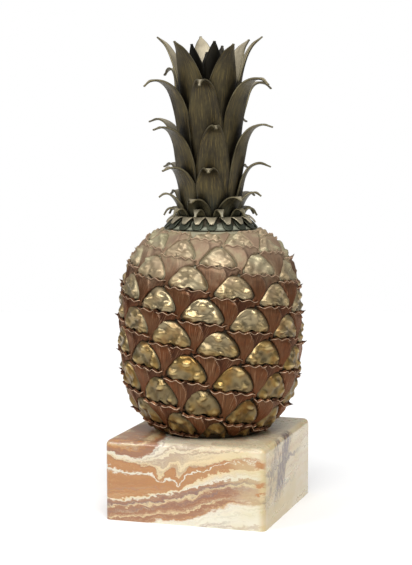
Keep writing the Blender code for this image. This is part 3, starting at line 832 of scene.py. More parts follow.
@dataclass
class EyeShape:
    """A fruitlet's eye: a lumpy boss with a flat foot and a gabled top, sunk in a groove."""

    half_width: float = 17.4
    foot: float = -9.8
    widest: float = -5.6
    top: float = 9.8
    tilt: float = -0.075
    left_cut: float = 0.82
    left_power: float = 1.05
    right_cut: float = 0.60
    right_power: float = 1.5
    crown_power: float = 9.0
    foot_tuck: float = 0.12
    shoulder: float = 3.4
    rounding: float = 2.0
    rim_depth: float = -3.9
    dents: int = 8
    columns: int = 37
    rows: int = 25
    seed: int = 4100

    def sides(self, up: np.ndarray, fullness: float = 0.0) -> tuple[np.ndarray, np.ndarray]:
        """Returns the half widths, left and right, at each height above the eye's middle.

        Args:
            up: the heights.
            fullness: how much less the left side leans in than it does as a rule.

        Returns:
            The left and the right half widths.
        """
        over = np.clip((up - self.widest) / (self.top - self.widest), 0.0, 1.0)
        under = np.clip((self.widest - up) / (self.widest - self.foot), 0.0, 1.0)
        whole = self.half_width * np.sqrt(1.0 - over ** self.crown_power)
        whole = whole * (1.0 - self.foot_tuck * under ** 2)
        left_cut = self.left_cut * (1.0 - fullness) * over ** (self.left_power + 2.0 * fullness)
        return whole * (1.0 - left_cut), whole * (1.0 - self.right_cut * over ** self.right_power)

    def beyond(self, across: np.ndarray, up: np.ndarray) -> np.ndarray:
        """Returns about how far each place lies outside the eye; it is negative inside."""
        up = up - self.tilt * across
        left, right = self.sides(up)
        aside = np.maximum(-across - left, across - right) * 0.8
        return np.maximum(np.maximum(aside, self.foot - up), up - self.top)

    def patch(self, surface: Surface, rank: int) -> Patch:
        """Shapes one eye.

        Args:
            surface: what it lies on.
            rank: its number along the spiral.

        Returns:
            The eye, with how far each point swells and how far it is sunk in the groove, for its painted
            shade and tarnish.
        """
        chance = np.random.default_rng(self.seed + rank)
        even = np.linspace(-1.0, 1.0, self.columns)
        share = np.linspace(0.0, 1.0, self.rows)
        sideways, upward = np.meshgrid(0.55 * even + 0.45 * np.sin(even * math.pi / 2), share)
        upward = 0.6 * upward + 0.4 * (0.5 - 0.5 * np.cos(upward * math.pi))
        tilt = self.tilt + chance.uniform(-0.03, 0.03)
        size = chance.uniform(0.95, 1.02)
        lean = chance.uniform(-1.5, 2.6)
        up = self.foot + (self.top - self.foot) * upward
        left, right = (side * size for side in self.sides(up, chance.uniform(0.0, 0.34)))
        across = np.where(sideways < 0, left, right) * sideways
        notch = chance.uniform(0.8, 1.9) * np.exp(-((across - 1.0) / 3.4) ** 2) * (1.0 - upward) ** 3
        scallop = 0.45 * np.sin(across * 0.60 + chance.uniform(0, PHASES)) * (1.0 - upward) ** 4
        aside = np.minimum(left + across, right - across)
        inside = np.minimum(aside * 0.8, (self.top - up) * 1.15)
        lapped = np.minimum(inside, (up - self.foot) * 2.0 + 1.3)
        swollen = 1.0 - (1.0 - np.clip(lapped / self.shoulder, 0.0, 1.0)) ** self.rounding
        lumps = self._lumps(across, up, upward, lean, chance)
        body = np.minimum(lumps - 1.9, 0.2 + 0.3 * np.tanh(lumps - 2.1))
        above = self.rim_depth + (body - self.rim_depth) * swollen
        swell = np.clip((lumps + 0.9) / 3.4, 0.0, 1.0) * swollen
        # How far each point sinks into the groove, for the painted shade and the tarnished, verdigris rim
        # there.
        sunken = 1.0 - np.clip(np.minimum(inside, (up - self.foot) * 2.0 + 0.9) / 1.1, 0.0, 1.0)
        points = surface.place(rank, across, up + notch + scallop + tilt * across, above)
        return make_patch(points, across / 40.0 + rank * UV_STEP, up / 40.0, swell=swell, sunken=sunken)

    def _lumps(self, across: np.ndarray, up: np.ndarray, upward: np.ndarray, lean: float,
               chance: np.random.Generator) -> np.ndarray:
        """Models an eye's lumps: one at each foot, one at the top, a crease and small dents and bumps.

        Args:
            across: distances to the right of the eye's middle.
            up: distances above it.
            upward: the same as a share of the eye's height, from its foot.
            lean: how far to the right the top lump lies.
            chance: where the lumps' places and sizes are drawn from.

        Returns:
            How high the lumps stand.
        """
        lumps = 2.1 * hump(across, up, (-10.0 + chance.uniform(-1.6, 1.6), -5.0 + chance.uniform(-1.0, 1.4)),
                           (chance.uniform(2.6, 4.6), chance.uniform(1.8, 3.0)))
        lumps += 2.4 * hump(across, up, (lean + 1.6, 3.8 + chance.uniform(-1.4, 1.2)),
                            (chance.uniform(2.6, 4.4), chance.uniform(2.0, 3.4)))
        lumps += 2.0 * hump(across, up, (10.4 + chance.uniform(-1.6, 1.6), -4.4 + chance.uniform(-1.2, 1.4)),
                            (chance.uniform(2.6, 4.2), chance.uniform(2.0, 3.4)))
        lumps -= 0.7 * hump(across, up, (1.4 + chance.uniform(-2.0, 2.0), -4.6), (4.4, 2.6))
        crease = across - lean - 2.4 - chance.uniform(-1.2, 1.2) * (up - 4.0)
        lumps -= 0.8 * np.exp(-crease ** 2) * np.clip(0.8 - upward, 0, 1)
        for _ in range(self.dents):
            spot = (chance.uniform(-13.0, 13.0), chance.uniform(-7.5, 6.0))
            rise = chance.choice((-0.9, 1.1))
            lumps += rise * hump(across, up, spot, (chance.uniform(1.6, 3.6), chance.uniform(1.1, 2.2)))
        lumps = np.maximum(lumps, 0.25 * lumps - 0.5)
        fold = chance.uniform(0.25, 0.5)
        folds = np.sin(across * 0.62 + up * chance.uniform(-0.7, 0.7) + chance.uniform(0, PHASES))
        return lumps + fold * folds * np.sin(up * 0.75 + chance.uniform(0, PHASES))


@dataclass
class BractShape:
    """A fruitlet's bract: a wavy lip under the eye and a keeled fan that narrows to a point below it."""

    level: float = -10.2
    tilt: float = -0.09
    half_width: float = 20.5
    reach: float = 24.0
    lean: float = -6.0
    side_power: float = 0.62
    wave: float = 0.78
    wave_length: float = 9.4
    columns: int = 41
    rows: int = 25
    groove: float = -3.9
    groove_width: float = 1.2
    seed: int = 7300
    # The rolled lip, from the groove behind it over its crest: (up, height over the outline).
    lip_roll: tuple[tuple[float, float], ...] = ((0.9, -1.7), (0.40, -0.5), (0.2, 0.05), (0.0, 0.3),
                                                 (-0.25, 0.0), (-0.45, -0.9))
    # How pale each row of the lip is painted, as wear and painted highlight.
    lip_wear_and_highlight: tuple[float, ...] = (0.0, 0.7, 1.0, 0.55)
    # The eyes that a bract may reach, as steps along the spiral.
    eyes_near: tuple[int, ...] = (-13, -9, -4, 4, 5, 9, 13, 17, 18, 22)

    def patch(self, surface: Surface, eye: EyeShape, rank: int) -> Patch:
        """Shapes one bract.

        Args:
            surface: what it lies on.
            eye: the eyes that it makes room for.
            rank: its number along the spiral.

        Returns:
            The bract, with each point's wear and painted highlight, its painted shade in the grooves and
            behind the keel, and burial.
        """
        chance = np.random.default_rng(self.seed + rank)
        fan = np.linspace(-1.0, 1.0, self.columns)
        down = np.concatenate((np.zeros(len(self.lip_roll)), np.linspace(0.06, 1.0, self.rows) ** 1.15))
        rolled_up = np.concatenate(([up for up, _ in self.lip_roll], np.zeros(self.rows)))
        across_fan, downward = np.meshgrid(fan, down)
        spread = self.half_width * (1.0 - np.minimum(downward, 0.995)) ** self.side_power
        across = self.lean * downward + spread * across_fan
        ripple = self._ripple(across, chance)
        up = self.level + self.tilt * across + rolled_up[:, None] - self.reach * downward
        up = up + self.wave * ripple * (1.0 - downward) ** 5
        past = across_fan - chance.uniform(-0.2, 0.2) - 0.34 * np.sin(math.pi * downward) - 0.1 * downward
        keel = np.clip(1.0 - np.where(past < 0.0, -past / 0.9, past / 0.16), 0.0, 1.0) ** 1.3
        keel = chance.uniform(1.5, 2.2) * keel * (1.0 - downward) ** 0.4 * np.clip(downward * 6.0, 0.0, 1.0)
        above = -1.5 - 1.9 * downward ** 0.8 + keel
        for row, (_, height) in enumerate(self.lip_roll):
            above[row] = height + (0.25 * ripple[row] if height > -0.8 else 0.0)
        edge = np.clip((np.abs(across_fan) - 0.86) / 0.14, 0.0, 1.0)
        above = above - (above - self.groove) * edge ** 1.5
        outside = self._outside_eyes(surface, eye, across, up)
        room = np.clip(outside / self.groove_width, 0.0, 1.0)
        above = self.groove + (above - self.groove) * (1.0 - (1.0 - room) ** 2)
        buried = outside < 0.0
        above = np.where(buried, self.groove - 1.0, above)
        # Painted shade on the far side of the keel, darkest beside its crest.
        lee = np.clip(past / 0.10, 0.0, 1.0) * np.exp(-np.maximum(past, 0.0) / 0.7)
        return make_patch(surface.place(rank, across, up, above), across_fan * 0.5 + rank * UV_STEP, downward,
                          worn=self._wear_and_highlight(past, downward, room), sunken=self._recess_shade_and_patina(downward, edge, room),
                          lee=lee, buried=buried.astype(float))

    def _ripple(self, across: np.ndarray, chance: np.random.Generator) -> np.ndarray:
        """Returns the wave, about -1 to 1, that runs along the lip."""
        phase = chance.uniform(0, PHASES)
        turns = 2 * math.pi * across / self.wave_length
        ripple = np.sin(turns + phase + 0.8 * np.sin(across / 7.0 + phase * 2))
        return ripple + 0.15 * np.sin(turns / 0.6 + chance.uniform(0, PHASES))

    def _outside_eyes(self, surface: Surface, eye: EyeShape, across: np.ndarray,
                      up: np.ndarray) -> np.ndarray:
        """Returns how far each place lies outside the eyes round the bract; it is negative inside one."""
        return np.minimum.reduce([eye.beyond(across - aside, up - over)
                                  for aside, over in surface.neighbours(self.eyes_near)])

    def _wear_and_highlight(self, past: np.ndarray, downward: np.ndarray, room: np.ndarray) -> np.ndarray:
        """Returns how pale each place is painted, as wear and as a painted highlight: the lip, and the crest
        of the keel.
        """
        crest = np.exp(-(past / 0.045) ** 2) * (downward > 0)
        lip = np.zeros(past.shape)
        lip[1:1 + len(self.lip_wear_and_highlight)] = np.array(self.lip_wear_and_highlight)[:, None]
        return np.maximum(lip, 0.75 * crest * (1.0 - downward)) * np.clip(room * 1.6, 0.0, 1.0)

    def _recess_shade_and_patina(self, downward: np.ndarray, edge: np.ndarray, room: np.ndarray) -> np.ndarray:
        """Returns how much painted shade each place takes: beside the eyes, at the fan's sides, under the lip
        and far down.
        """
        shades = (0.9 * (1.0 - np.clip(room * 1.3, 0.0, 1.0)), 0.8 * edge, 0.4 * downward ** 2,
                  0.45 * np.clip(1.0 - downward / 0.12, 0.0, 1.0) * (downward > 0))
        sunken = np.maximum.reduce(shades)
        # The groove behind the lip takes painted shade.
        sunken[0] = 0.6
        return sunken


@dataclass
class SpikeShape:
    """The small thorn that stands out from the middle of a lip."""

    across: float = 1.0
    up: float = -10.0
    depth: float = -1.2
    radius: float = 2.1
    tip_radius: float = 0.12
    length: float = 2.9
    lift: float = 1.6
    sides: int = 10
    rings: int = 6

    def patch(self, surface: Surface, rank: int) -> Patch:
        """Shapes one thorn on a surface, for the fruitlet of a rank along the spiral."""
        share, angle = np.meshgrid(np.linspace(0.0, 1.0, self.rings),
                                   np.linspace(0, 2 * math.pi, self.sides + 1), indexing="ij")
        radius = self.radius * (1.0 - share) ** 1.1 + self.tip_radius
        across = self.across + radius * np.cos(angle)
        up = self.up + self.lift * share ** 1.6 + radius * 0.7 * np.sin(angle)
        above = self.depth + (self.length - self.depth) * share
        # Painted paler towards the tip as wear and highlight, painted shade towards the foot, and the keel's
        # painted shade all over.
        return make_patch(surface.place(rank, across, up, above), angle / 3.0 + rank * UV_STEP, share,
                          worn=np.clip(share * 0.9 - 0.4, 0.0, 0.5), sunken=0.6 - 0.4 * share,
                          lee=np.ones(share.shape), buried=np.zeros(share.shape))


@dataclass
class Fruit:
    """The fruit's casting: all eyes as one piece, all bracts as another, over a dark ground."""

    surface: Surface
    eye: EyeShape = field(default_factory=EyeShape)
    bract: BractShape = field(default_factory=BractShape)
    spike: SpikeShape = field(default_factory=SpikeShape)
    first_rank: int = -32
    last_rank: int = 71
    spikes_from: int = -18
    ground_depth: float = -4.6
    neck_radius: float = 37.0
    neck_fade: float = 3.0
    foot_fade: float = 1.5
    ground_columns: int = 220
    ground_stride: int = 3

    def build(self) -> list[bpy.types.Object]:
        """Builds and dresses the three pieces of the fruit."""
        ranks = range(self.first_rank, self.last_rank)
        eyes = [self.eye.patch(self.surface, rank) for rank in ranks]
        bracts = [self.bract.patch(self.surface, self.eye, rank) for rank in ranks]
        spikes = [self.spike.patch(self.surface, rank) for rank in ranks if rank >= self.spikes_from]
        eye_faces = grid_faces(self.eye.columns, self.eye.rows)
        bract_faces = grid_faces(self.bract.columns, self.bract.rows + len(self.bract.lip_roll))[:, ::-1]
        spike_faces = grid_faces(self.spike.sides + 1, self.spike.rings)
        eyes_mesh = self._join("fruit_eyes", (eyes, eye_faces))
        bracts_mesh = self._join("fruit_bracts", (bracts, bract_faces), (spikes, spike_faces))
        return [
            make_piece("fruit_eyes", eyes_mesh, ("fruit",), (GoldenEye().make(),)),
            make_piece("fruit_bracts", bracts_mesh, ("fruit",), (RustyBract().make(),)),
            make_piece("fruit_ground", self._ground(), ("fruit",), (DarkGround().make(),)),
        ]

    def _join(self, name: str, *kinds: tuple[Sequence[Patch], np.ndarray]) -> bpy.types.Mesh:
        """Joins patches into one mesh, without the faces that are buried in the ground.

        Args:
            name: the mesh's name.
            kinds: the patches of each kind, with the faces that each of them has.

        Returns:
            The mesh.
        """
        pairs = [(patch, faces) for patches, faces in kinds for patch in patches]
        starts = np.cumsum([0] + [len(patch.points) for patch, _ in pairs])
        faces = np.concatenate([own + start for (_, own), start in zip(pairs, starts)])
        points = np.concatenate([patch.points for patch, _ in pairs])
        marks = np.concatenate([patch.marks for patch, _ in pairs])
        measures = {title: np.concatenate([patch.measures[title] for patch, _ in pairs])
                    for title in pairs[0][0].measures}
        buried = measures.pop("buried", np.zeros(len(points)))
        faces = faces[buried[faces].min(axis=1) == 0.0]
        used, corners = np.unique(faces, return_inverse=True)
        shown = Patch(points[used], marks[used], {title: kept[used] for title, kept in measures.items()})
        return patch_mesh(name, shown, corners.reshape(faces.shape))

    def _ground(self) -> bpy.types.Mesh:
        """Turns the ground, closed over the foot and the neck."""
        line = self.surface
        near_neck = np.clip((line.radius - self.neck_radius) / self.neck_fade, 0.1, 1.0)
        near_foot = np.clip((line.height - line.foot) / self.foot_fade, 0.1, 1.0)
        depth = self.ground_depth * np.where(line.height > line.waist_height, near_neck, near_foot)
        side = np.stack((line.radius + line.out * depth, line.height + line.up * depth), axis=1)
        side = side[::self.ground_stride]
        profile = ((0.0, side[0, 1]), *side, (0.0, side[-1, 1]))
        return turn_profile("fruit_ground", profile, self.ground_columns)


@dataclass
class LeafRing:
    """One ring of leaves that share a curve.

    Each leaf has its bearing and its reach, as a share of the ring's height. The curve runs from the root to
    the tip, as (radius, height).
    """

    name: str
    leaves: tuple[tuple[float, float], ...]
    half_width: float
    taper_length: float
    taper_power: float
    curve: tuple[tuple[float, float], ...]
    columns: int = 15
    rows: int = 46

    def room(self, index: int) -> tuple[float, float]:
        """Returns half the bearing gaps to the leaves before and after."""
        bearing = self.leaves[index][0]
        before = (bearing - self.leaves[index - 1][0]) % 360.0
        after = (self.leaves[(index + 1) % len(self.leaves)][0] - bearing) % 360.0
        return before / 2, after / 2


@dataclass
class Crown:
    """The leaves, ring inside ring. Lengths are in millimetres."""

    root: float
    thickness: float = 1.2
    edge_gap: float = 0.4
    tip_half_width: float = 1.0
    lean: float = 0.0133
    lean_bearing: float = -72.3
    small_leaves: int = 11
    samples: int = 240
    seed: int = 900
    # The rows crowd together towards the tip by this much, 0 to 1.
    row_crowding: float = 0.65
    edge_wave: float = 0.35
    edge_wave_pace: float = 6.5
    edge_curl: float = 1.3
    # The curl dies away over this share of the taper.
    curl_share: float = 0.4
    # The edges lie still at the tip and from fade_end on.
    still_tip: float = 8.0
    fade_end: float = 96.0
    fade_length: float = 60.0
    rim_width: float = 1.5
    # Lengths that take up one UV unit.
    grain_across: float = 24.0
    grain_along: float = 40.0
    shade_width: float = 2.2
    # How fast a leaf's shade thins out above its fold.
    shade_thinning: float = 2.0
    # Rings painted near black all over: painted shade inside the crown.
    painted_shade_rings: tuple[str, ...] = ("heart_leaf", "inner_leaf")

    def rings(self) -> tuple[LeafRing, ...]:
        """Returns the rings, innermost first."""
        foot = self.root
        small = tuple((-1.3 + 360.0 / self.small_leaves * place, 1.0) for place in range(self.small_leaves))
        return (
            LeafRing("heart_leaf", ((-20, 1.0), (100, 0.985), (220, 1.01)), 12.0, 46.0, 1.15,
                     ((11.3, foot), (11.6, 330), (9.6, 346), (5.4, 358), (2.6, 364))),
            LeafRing("inner_leaf", ((-20, 1.0), (30, 1.015), (167, 1.0), (250, 0.96)), 10.4, 36.0, 0.85,
                     ((13.6, foot), (14.6, 300), (16.2, 340), (18.4, 357), (21.4, 371))),
            LeafRing("top_leaf", ((-91, 1.0), (-20, 0.965), (44, 0.95), (113, 1.0), (148, 0.99), (206, 1.01)),
                     15.0, 58.0, 0.85,
                     ((15.8, foot), (19.4, 270), (22.8, 310), (25.0, 338), (28.6, 356), (34.4, 369),
                      (43.0, 377.6))),
            LeafRing("upper_leaf", ((-47, 1.0), (10, 1.0), (73, 1.01), (134, 0.99), (191, 1.02), (238, 1.09)),
                     13.6, 52.0, 1.15,
                     ((17.6, foot), (21.5, 270), (25.3, 304), (28.8, 322), (33.6, 335.5), (41.0, 341.6),
                      (50.0, 342), (56.0, 338.0))),
            LeafRing("middle_leaf",
                     ((-97, 1.05), (-37, 0.975), (23, 0.99), (85, 1.0), (163, 1.05), (213, 1.0)),
                     13.4, 50.0, 1.15,
                     ((19.4, foot), (22.4, 252), (25.2, 269), (28.0, 284), (31.2, 296.5), (36.6, 305),
                      (45.0, 308.2), (53.5, 306.4))),
            LeafRing("lower_leaf",
                     ((-112, 1.02), (-32, 0.99), (16, 0.98), (103, 1.04), (158, 1.0), (208, 1.0)),
                     12.0, 40.0, 1.0,
                     ((21.2, foot), (23.2, 243), (25.6, 256), (28.2, 266), (33.0, 273.0), (40.0, 275.4),
                      (48.5, 273))),
            LeafRing("base_leaf",
                     ((-112, 1.05), (-62, 1.0), (-4, 0.88), (53, 0.94), (93, 1.04), (138, 1.0), (196, 1.0)),
                     10.4, 24.0, 1.0,
                     ((23.0, foot), (24.3, 238), (27.4, 246.5), (32.0, 252.4), (37.0, 253.6), (41.5, 251)),
                     rows=32),
            LeafRing("small_leaf", small, 4.6, 17.0, 1.0,
                     ((24.8, foot), (25.3, 232.5), (27.2, 238.4), (30.6, 242), (34.4, 241), (37.4, 236.6)),
                     columns=9, rows=22),
        )

    def build(self) -> list[bpy.types.Object]:
        """Builds and dresses every leaf."""
        outside = LeafBronze().make()
        inside = LeafBronze("pale_leaf_bronze", olive=(0.42, 0.365, 0.25), umber=(0.26, 0.22, 0.15),
                            fleck=(0.58, 0.51, 0.35), green=(0.09, 0.09, 0.06), metallic=0.3).make()
        # Painted shade for the innermost leaves, near black all over.
        dark = LeafBronze("shaded_leaf_bronze", olive=(0.024, 0.021, 0.013), umber=(0.013, 0.011, 0.008),
                          fleck=(0.05, 0.04, 0.018), rubbed=(0.05, 0.045, 0.03)).make()
        pieces = []
        for ring in self.rings():
            finish = (dark, dark, dark) if ring.name in self.painted_shade_rings else (outside, inside, outside)
            for index in range(len(ring.leaves)):
                pieces.append(self._leaf(ring, index, finish))
        return pieces

    def _shaded(self, ring: LeafRing, bearing: np.ndarray, height: np.ndarray) -> np.ndarray:
        """Returns how near, 0 to 1, each place on a leaf is to the edge of a leaf before it, for the painted
        shadow there.
        """
        rings = self.rings()
        names = [other.name for other in rings]
        nearest = np.full(bearing.shape, np.inf)
        for other in rings[names.index(ring.name) + 1:]:
            for middle, reach in other.leaves:
                line, walked = self._centre_line(other, reach)
                fold = int(np.argmax(line[:, 1]))
                half = self._half_widths(other, walked[fold:])
                room = np.interp(height, line[fold:, 1][::-1], half[::-1])
                radius = np.interp(height, line[fold:, 1][::-1], line[fold:, 0][::-1])
                aside = np.abs((np.degrees(bearing) - middle + 180.0) % 360.0 - 180.0)
                above = np.maximum(height - line[fold, 1], 0.0)
                past = np.radians(aside) * radius - room + above * self.shade_thinning
                nearest = np.minimum(nearest, past)
        return np.exp(-np.maximum(nearest, 0.0) / self.shade_width)

    def _half_widths(self, ring: LeafRing, distance: np.ndarray) -> np.ndarray:
        """Returns a leaf's half widths at distances from its tip, before its neighbours limit them."""
        narrowing = np.sin(math.pi / 2 * np.minimum(distance / ring.taper_length, 1.0)) ** ring.taper_power
        return np.maximum(ring.half_width * narrowing, self.tip_half_width)

    def _centre_line(self, ring: LeafRing, reach: float) -> tuple[np.ndarray, np.ndarray]:
        """Returns the points of a leaf's middle, tip first, and how far each is from the tip."""
        knots = np.array(ring.curve)
        knots[:, 1] = self.root + (knots[:, 1] - self.root) * reach
        spans = len(knots) - 1
        ends = np.concatenate((2 * knots[:1] - knots[1:2], knots, 2 * knots[-1:] - knots[-2:-1]))
        place = np.linspace(spans, 0.0, self.samples + 1)
        index = np.minimum(place.astype(int), spans - 1)
        along = (place - index)[:, None]
        before, start, end, after = (ends[index + shift] for shift in range(4))
        line = 0.5 * (2 * start + (end - before) * along
                      + (2 * before - 5 * start + 4 * end - after) * along ** 2
                      + (3 * start - before - 3 * end + after) * along ** 3)
        walked = np.concatenate(((0.0,), np.cumsum(np.hypot(*np.diff(line, axis=0).T))))
        return line, walked

    def _leaf(self, ring: LeafRing, index: int, materials: Sequence[bpy.types.Material]) -> bpy.types.Object:
        """Builds one leaf as a sheet round the axis with its thickness added.

        Args:
            ring: the leaf's ring.
            index: its place in the ring.
            materials: the outside, inside and rim.

        Returns:
            The leaf.
        """
        name = f"{ring.name}_{index + 1}"
        faces = grid_faces(ring.columns, ring.rows)[:, ::-1]
        mesh = patch_mesh(name, self._sheet(ring, index), faces)
        leaf = make_piece(name, mesh, (name,), materials)
        thicken(leaf, self.thickness, 0.0, inside=1, rim=2)
        return leaf

    def _sheet(self, ring: LeafRing, index: int) -> Patch:
        """Shapes one leaf's middle sheet, tip first.

        Args:
            ring: the leaf's ring.
            index: its place in the ring.

        Returns:
            The sheet, with how near each point is to the rim, and its painted shadow from a leaf that stands
            before it.
        """
        bearing, reach = ring.leaves[index]
        line, walked = self._centre_line(ring, reach)
        share = np.linspace(0.0, 1.0, ring.rows)
        distance = walked[-1] * (share + self.row_crowding * (share ** 2 - share))
        radius = np.interp(distance, walked, line[:, 0])
        height = np.interp(distance, walked, line[:, 1])
        half = self._half_widths(ring, distance)
        before, after = (math.radians(gap) - self.edge_gap / radius for gap in ring.room(index))
        side = np.linspace(-1.0, 1.0, ring.columns)
        room = np.where(side[None, :] < 0, before[:, None], after[:, None])
        spread = np.minimum(half[:, None] / radius[:, None], room)
        angle = math.radians(bearing) + spread * side[None, :]
        lift = self._lift(ring, index, distance, side)
        along = np.gradient(line, axis=0)
        along /= np.hypot(*along.T)[:, None]
        outward, upward = (np.interp(distance, walked, part)[:, None] for part in along.T)
        out = radius[:, None] - upward * lift
        up = height[:, None] + outward * lift
        shift = around(self.lean_bearing, self.lean, 0.0)
        points = np.stack((out * np.sin(angle) + shift.x * (up - self.root),
                           -out * np.cos(angle) + shift.y * (up - self.root), up), axis=-1)
        reach_in = np.repeat(distance[:, None], ring.columns, axis=1)
        from_edge = np.minimum((1.0 - np.abs(side))[None, :] * half[:, None], reach_in)
        # Painted shadow cast by the leaves that stand before this one.
        deep = self._shaded(ring, angle, np.repeat(height[:, None], ring.columns, axis=1))
        grain = np.repeat(side[None, :], ring.rows, axis=0) * half.max() / self.grain_across
        return make_patch(points, grain + index * UV_STEP, reach_in / self.grain_along,
                          rim=np.clip(1.0 - from_edge / self.rim_width, 0.0, 1.0), deep=deep)

    def _lift(self, ring: LeafRing, index: int, distance: np.ndarray, side: np.ndarray) -> np.ndarray:
        """Returns how far a leaf's edges ripple and curl out of its sheet.

        Args:
            ring: the leaf's ring.
            index: its place in the ring.
            distance: how far each row is from the tip.
            side: how far each column is from the middle, -1 to 1.

        Returns:
            The lift of each point, in millimetres.
        """
        chance = np.random.default_rng(
            self.seed + 37 * index + 7 * len(ring.name) + int(ring.half_width * 10))
        flare = self.edge_curl * np.exp(-distance / (self.curl_share * ring.taper_length))
        ripple = self.edge_wave * np.sin(distance / self.edge_wave_pace + chance.uniform(0, PHASES))
        rising = np.clip(distance / self.still_tip, 0.0, 1.0)
        falling = np.clip((self.fade_end - distance) / self.fade_length, 0.0, 1.0)
        return ((ripple - flare) * rising * falling)[:, None] * side[None, :] ** 4


@dataclass
class Collar:
    """The turned ring at the crown's foot: pointed bracts, each over a rounded lobe."""

    petals: int = 18
    steps_a_petal: int = 6
    bearing: float = 19.7
    seed: int = 60
    # How unevenly the petals are cast: their width, their bearing in degrees and their curl.
    widths: tuple[float, float] = (0.93, 1.04)
    bearing_slip: float = 1.2
    curl_slip: float = 0.2
    # How far a hanging side stands out, as a share of how far it hangs.
    hang_out: float = 0.2
    thickness: float = 0.8
    columns: int = 11
    rows: int = 20
    lowest: float = 226.6
    skirt: tuple[tuple[float, float], ...] = ((26.4, 226.5), (27.6, 236.0), (28.8, 234.6), (30.2, 231.8),
                                              (33.0, 228.8), (36.8, 226.5))
    # From the root out and down to the end: (radius, height, half width).
    lobe: tuple[tuple[float, float, float], ...] = (
        (28.8, 235.0, 3.6), (31.5, 233.2, 4.0), (34.0, 231.0, 4.3), (35.9, 228.9, 4.1), (37.2, 227.3, 3.0),
        (37.6, 226.7, 1.1))
    bract: tuple[tuple[float, float, float], ...] = (
        (28.4, 236.1, 4.9), (30.8, 235.9, 4.5), (33.2, 234.1, 3.2), (34.8, 232.5, 2.4), (35.6, 231.4, 1.8),
        (35.9, 231.1, 0.9))

    def build(self) -> bpy.types.Object:
        """Builds and dresses the collar as one piece."""
        # The collar's rubbed colour also paints the light that catches its bracts' tops.
        bronze = LeafBronze("collar_bronze", olive=(0.060, 0.056, 0.034), rubbed=(0.52, 0.45, 0.31),
                            green=(0.040, 0.050, 0.034)).make()
        pale = DarkGround("pale_skirt_bronze", black=(0.035, 0.024, 0.013), verdigris=(0.29, 0.30, 0.22),
                          high_from=0.2320, high_to=0.2285).make()
        skirt = turn_profile("collar", self.skirt, self.petals * self.steps_a_petal, closed=True)
        collar = make_piece("collar", skirt, ("collar",), (pale,))
        petals = []
        # Each bract is painted pale all over, as wear and as the light on its top; each lobe under it is not.
        for number in range(self.petals):
            petals.append(self._petal(f"lobe_{number}", number, self.lobe, 0.0, 0.15, bronze))
            petals.append(self._petal(f"bract_{number}", number, self.bract, 1.0, -0.3, bronze))
        select(collar, *petals)
        bpy.ops.object.join()
        return collar

    def _petal(self, name: str, number: int, table: Sequence[tuple[float, float, float]], worn: float,
               curl: float, material: bpy.types.Material) -> bpy.types.Object:
        """Builds one lobe or bract of the collar as a loose object to be joined.

        Args:
            name: its name until it is joined.
            number: its place round the collar.
            table: its middle line, with its half width.
            worn: how pale it is painted, as wear and as the light that catches it.
            curl: how far its sides hang below its middle line.
            material: its finish.

        Returns:
            The loose object.
        """
        chance = np.random.default_rng(self.seed + number)
        line = np.array(table)
        place = np.linspace(0.0, len(line) - 1, self.rows)
        radius, height, half = (np.interp(place, np.arange(len(line)), line[:, part]) for part in range(3))
        side = np.linspace(-1.0, 1.0, self.columns)
        half = half * chance.uniform(*self.widths)
        slip = chance.uniform(-self.bearing_slip, self.bearing_slip)
        bearing = self.bearing + 360.0 / self.petals * number + slip
        angle = math.radians(bearing) + side[None, :] * half[:, None] / radius[:, None]
        hang = (curl + chance.uniform(-self.curl_slip, self.curl_slip)) * side[None, :] ** 2
        out, up = radius[:, None] + self.hang_out * hang, height[:, None] - hang
        points = np.stack((out * np.sin(angle), -out * np.cos(angle), np.maximum(up, self.lowest)), axis=-1)
        down = np.repeat(place[:, None], self.columns, axis=1) / len(line)
        across = np.repeat(side[None, :], self.rows, axis=0) * 0.3 + number * UV_STEP
        patch = make_patch(points, across, down * 0.4, rim=np.full(down.shape, worn))
        mesh = patch_mesh(name, patch, grid_faces(self.columns, self.rows)[:, ::-1])
        mesh.shade_smooth()
        mesh.materials.append(material)
        petal = add_object(name, mesh)
        thicken(petal, self.thickness, -0.5)
        return petal


@dataclass
class Plinth:
    """The onyx block, its edges rubbed soft."""

    edge_radius: float = 0.0045
    edge_segments: int = 6
    smooth_up_to: float = 30.0

    def build(self) -> bpy.types.Object:
        """Builds and dresses the block."""
        low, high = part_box("plinth")
        middle, size = (low + high) / 2, high - low
        bpy.ops.object.select_all(action="DESELECT")
        bpy.ops.mesh.primitive_cube_add(size=1.0, location=middle, scale=size)
        block = bpy.context.active_object
        bpy.ops.object.transform_apply(location=True, rotation=True, scale=True)
        bpy.ops.object.mode_set(mode="EDIT")
        bpy.ops.mesh.select_mode(type="EDGE")
        bpy.ops.mesh.select_all(action="DESELECT")
        cage = bmesh.from_edit_mesh(block.data)
        for edge in cage.edges:
            edge.select = max(end.co.z for end in edge.verts) > middle.z
        bmesh.update_edit_mesh(block.data)
        bpy.ops.mesh.bevel(offset=self.edge_radius, segments=self.edge_segments, profile=0.5,
                           clamp_overlap=True)
        bpy.ops.mesh.select_all(action="SELECT")
        bpy.ops.mesh.normals_make_consistent(inside=False)
        bpy.ops.object.mode_set(mode="OBJECT")
        bpy.ops.object.shade_smooth_by_angle(angle=math.radians(self.smooth_up_to))
        block.name = "onyx_block"
        block.data.materials.append(BandedOnyx().make())
        claim(block, ("plinth",))
        return block


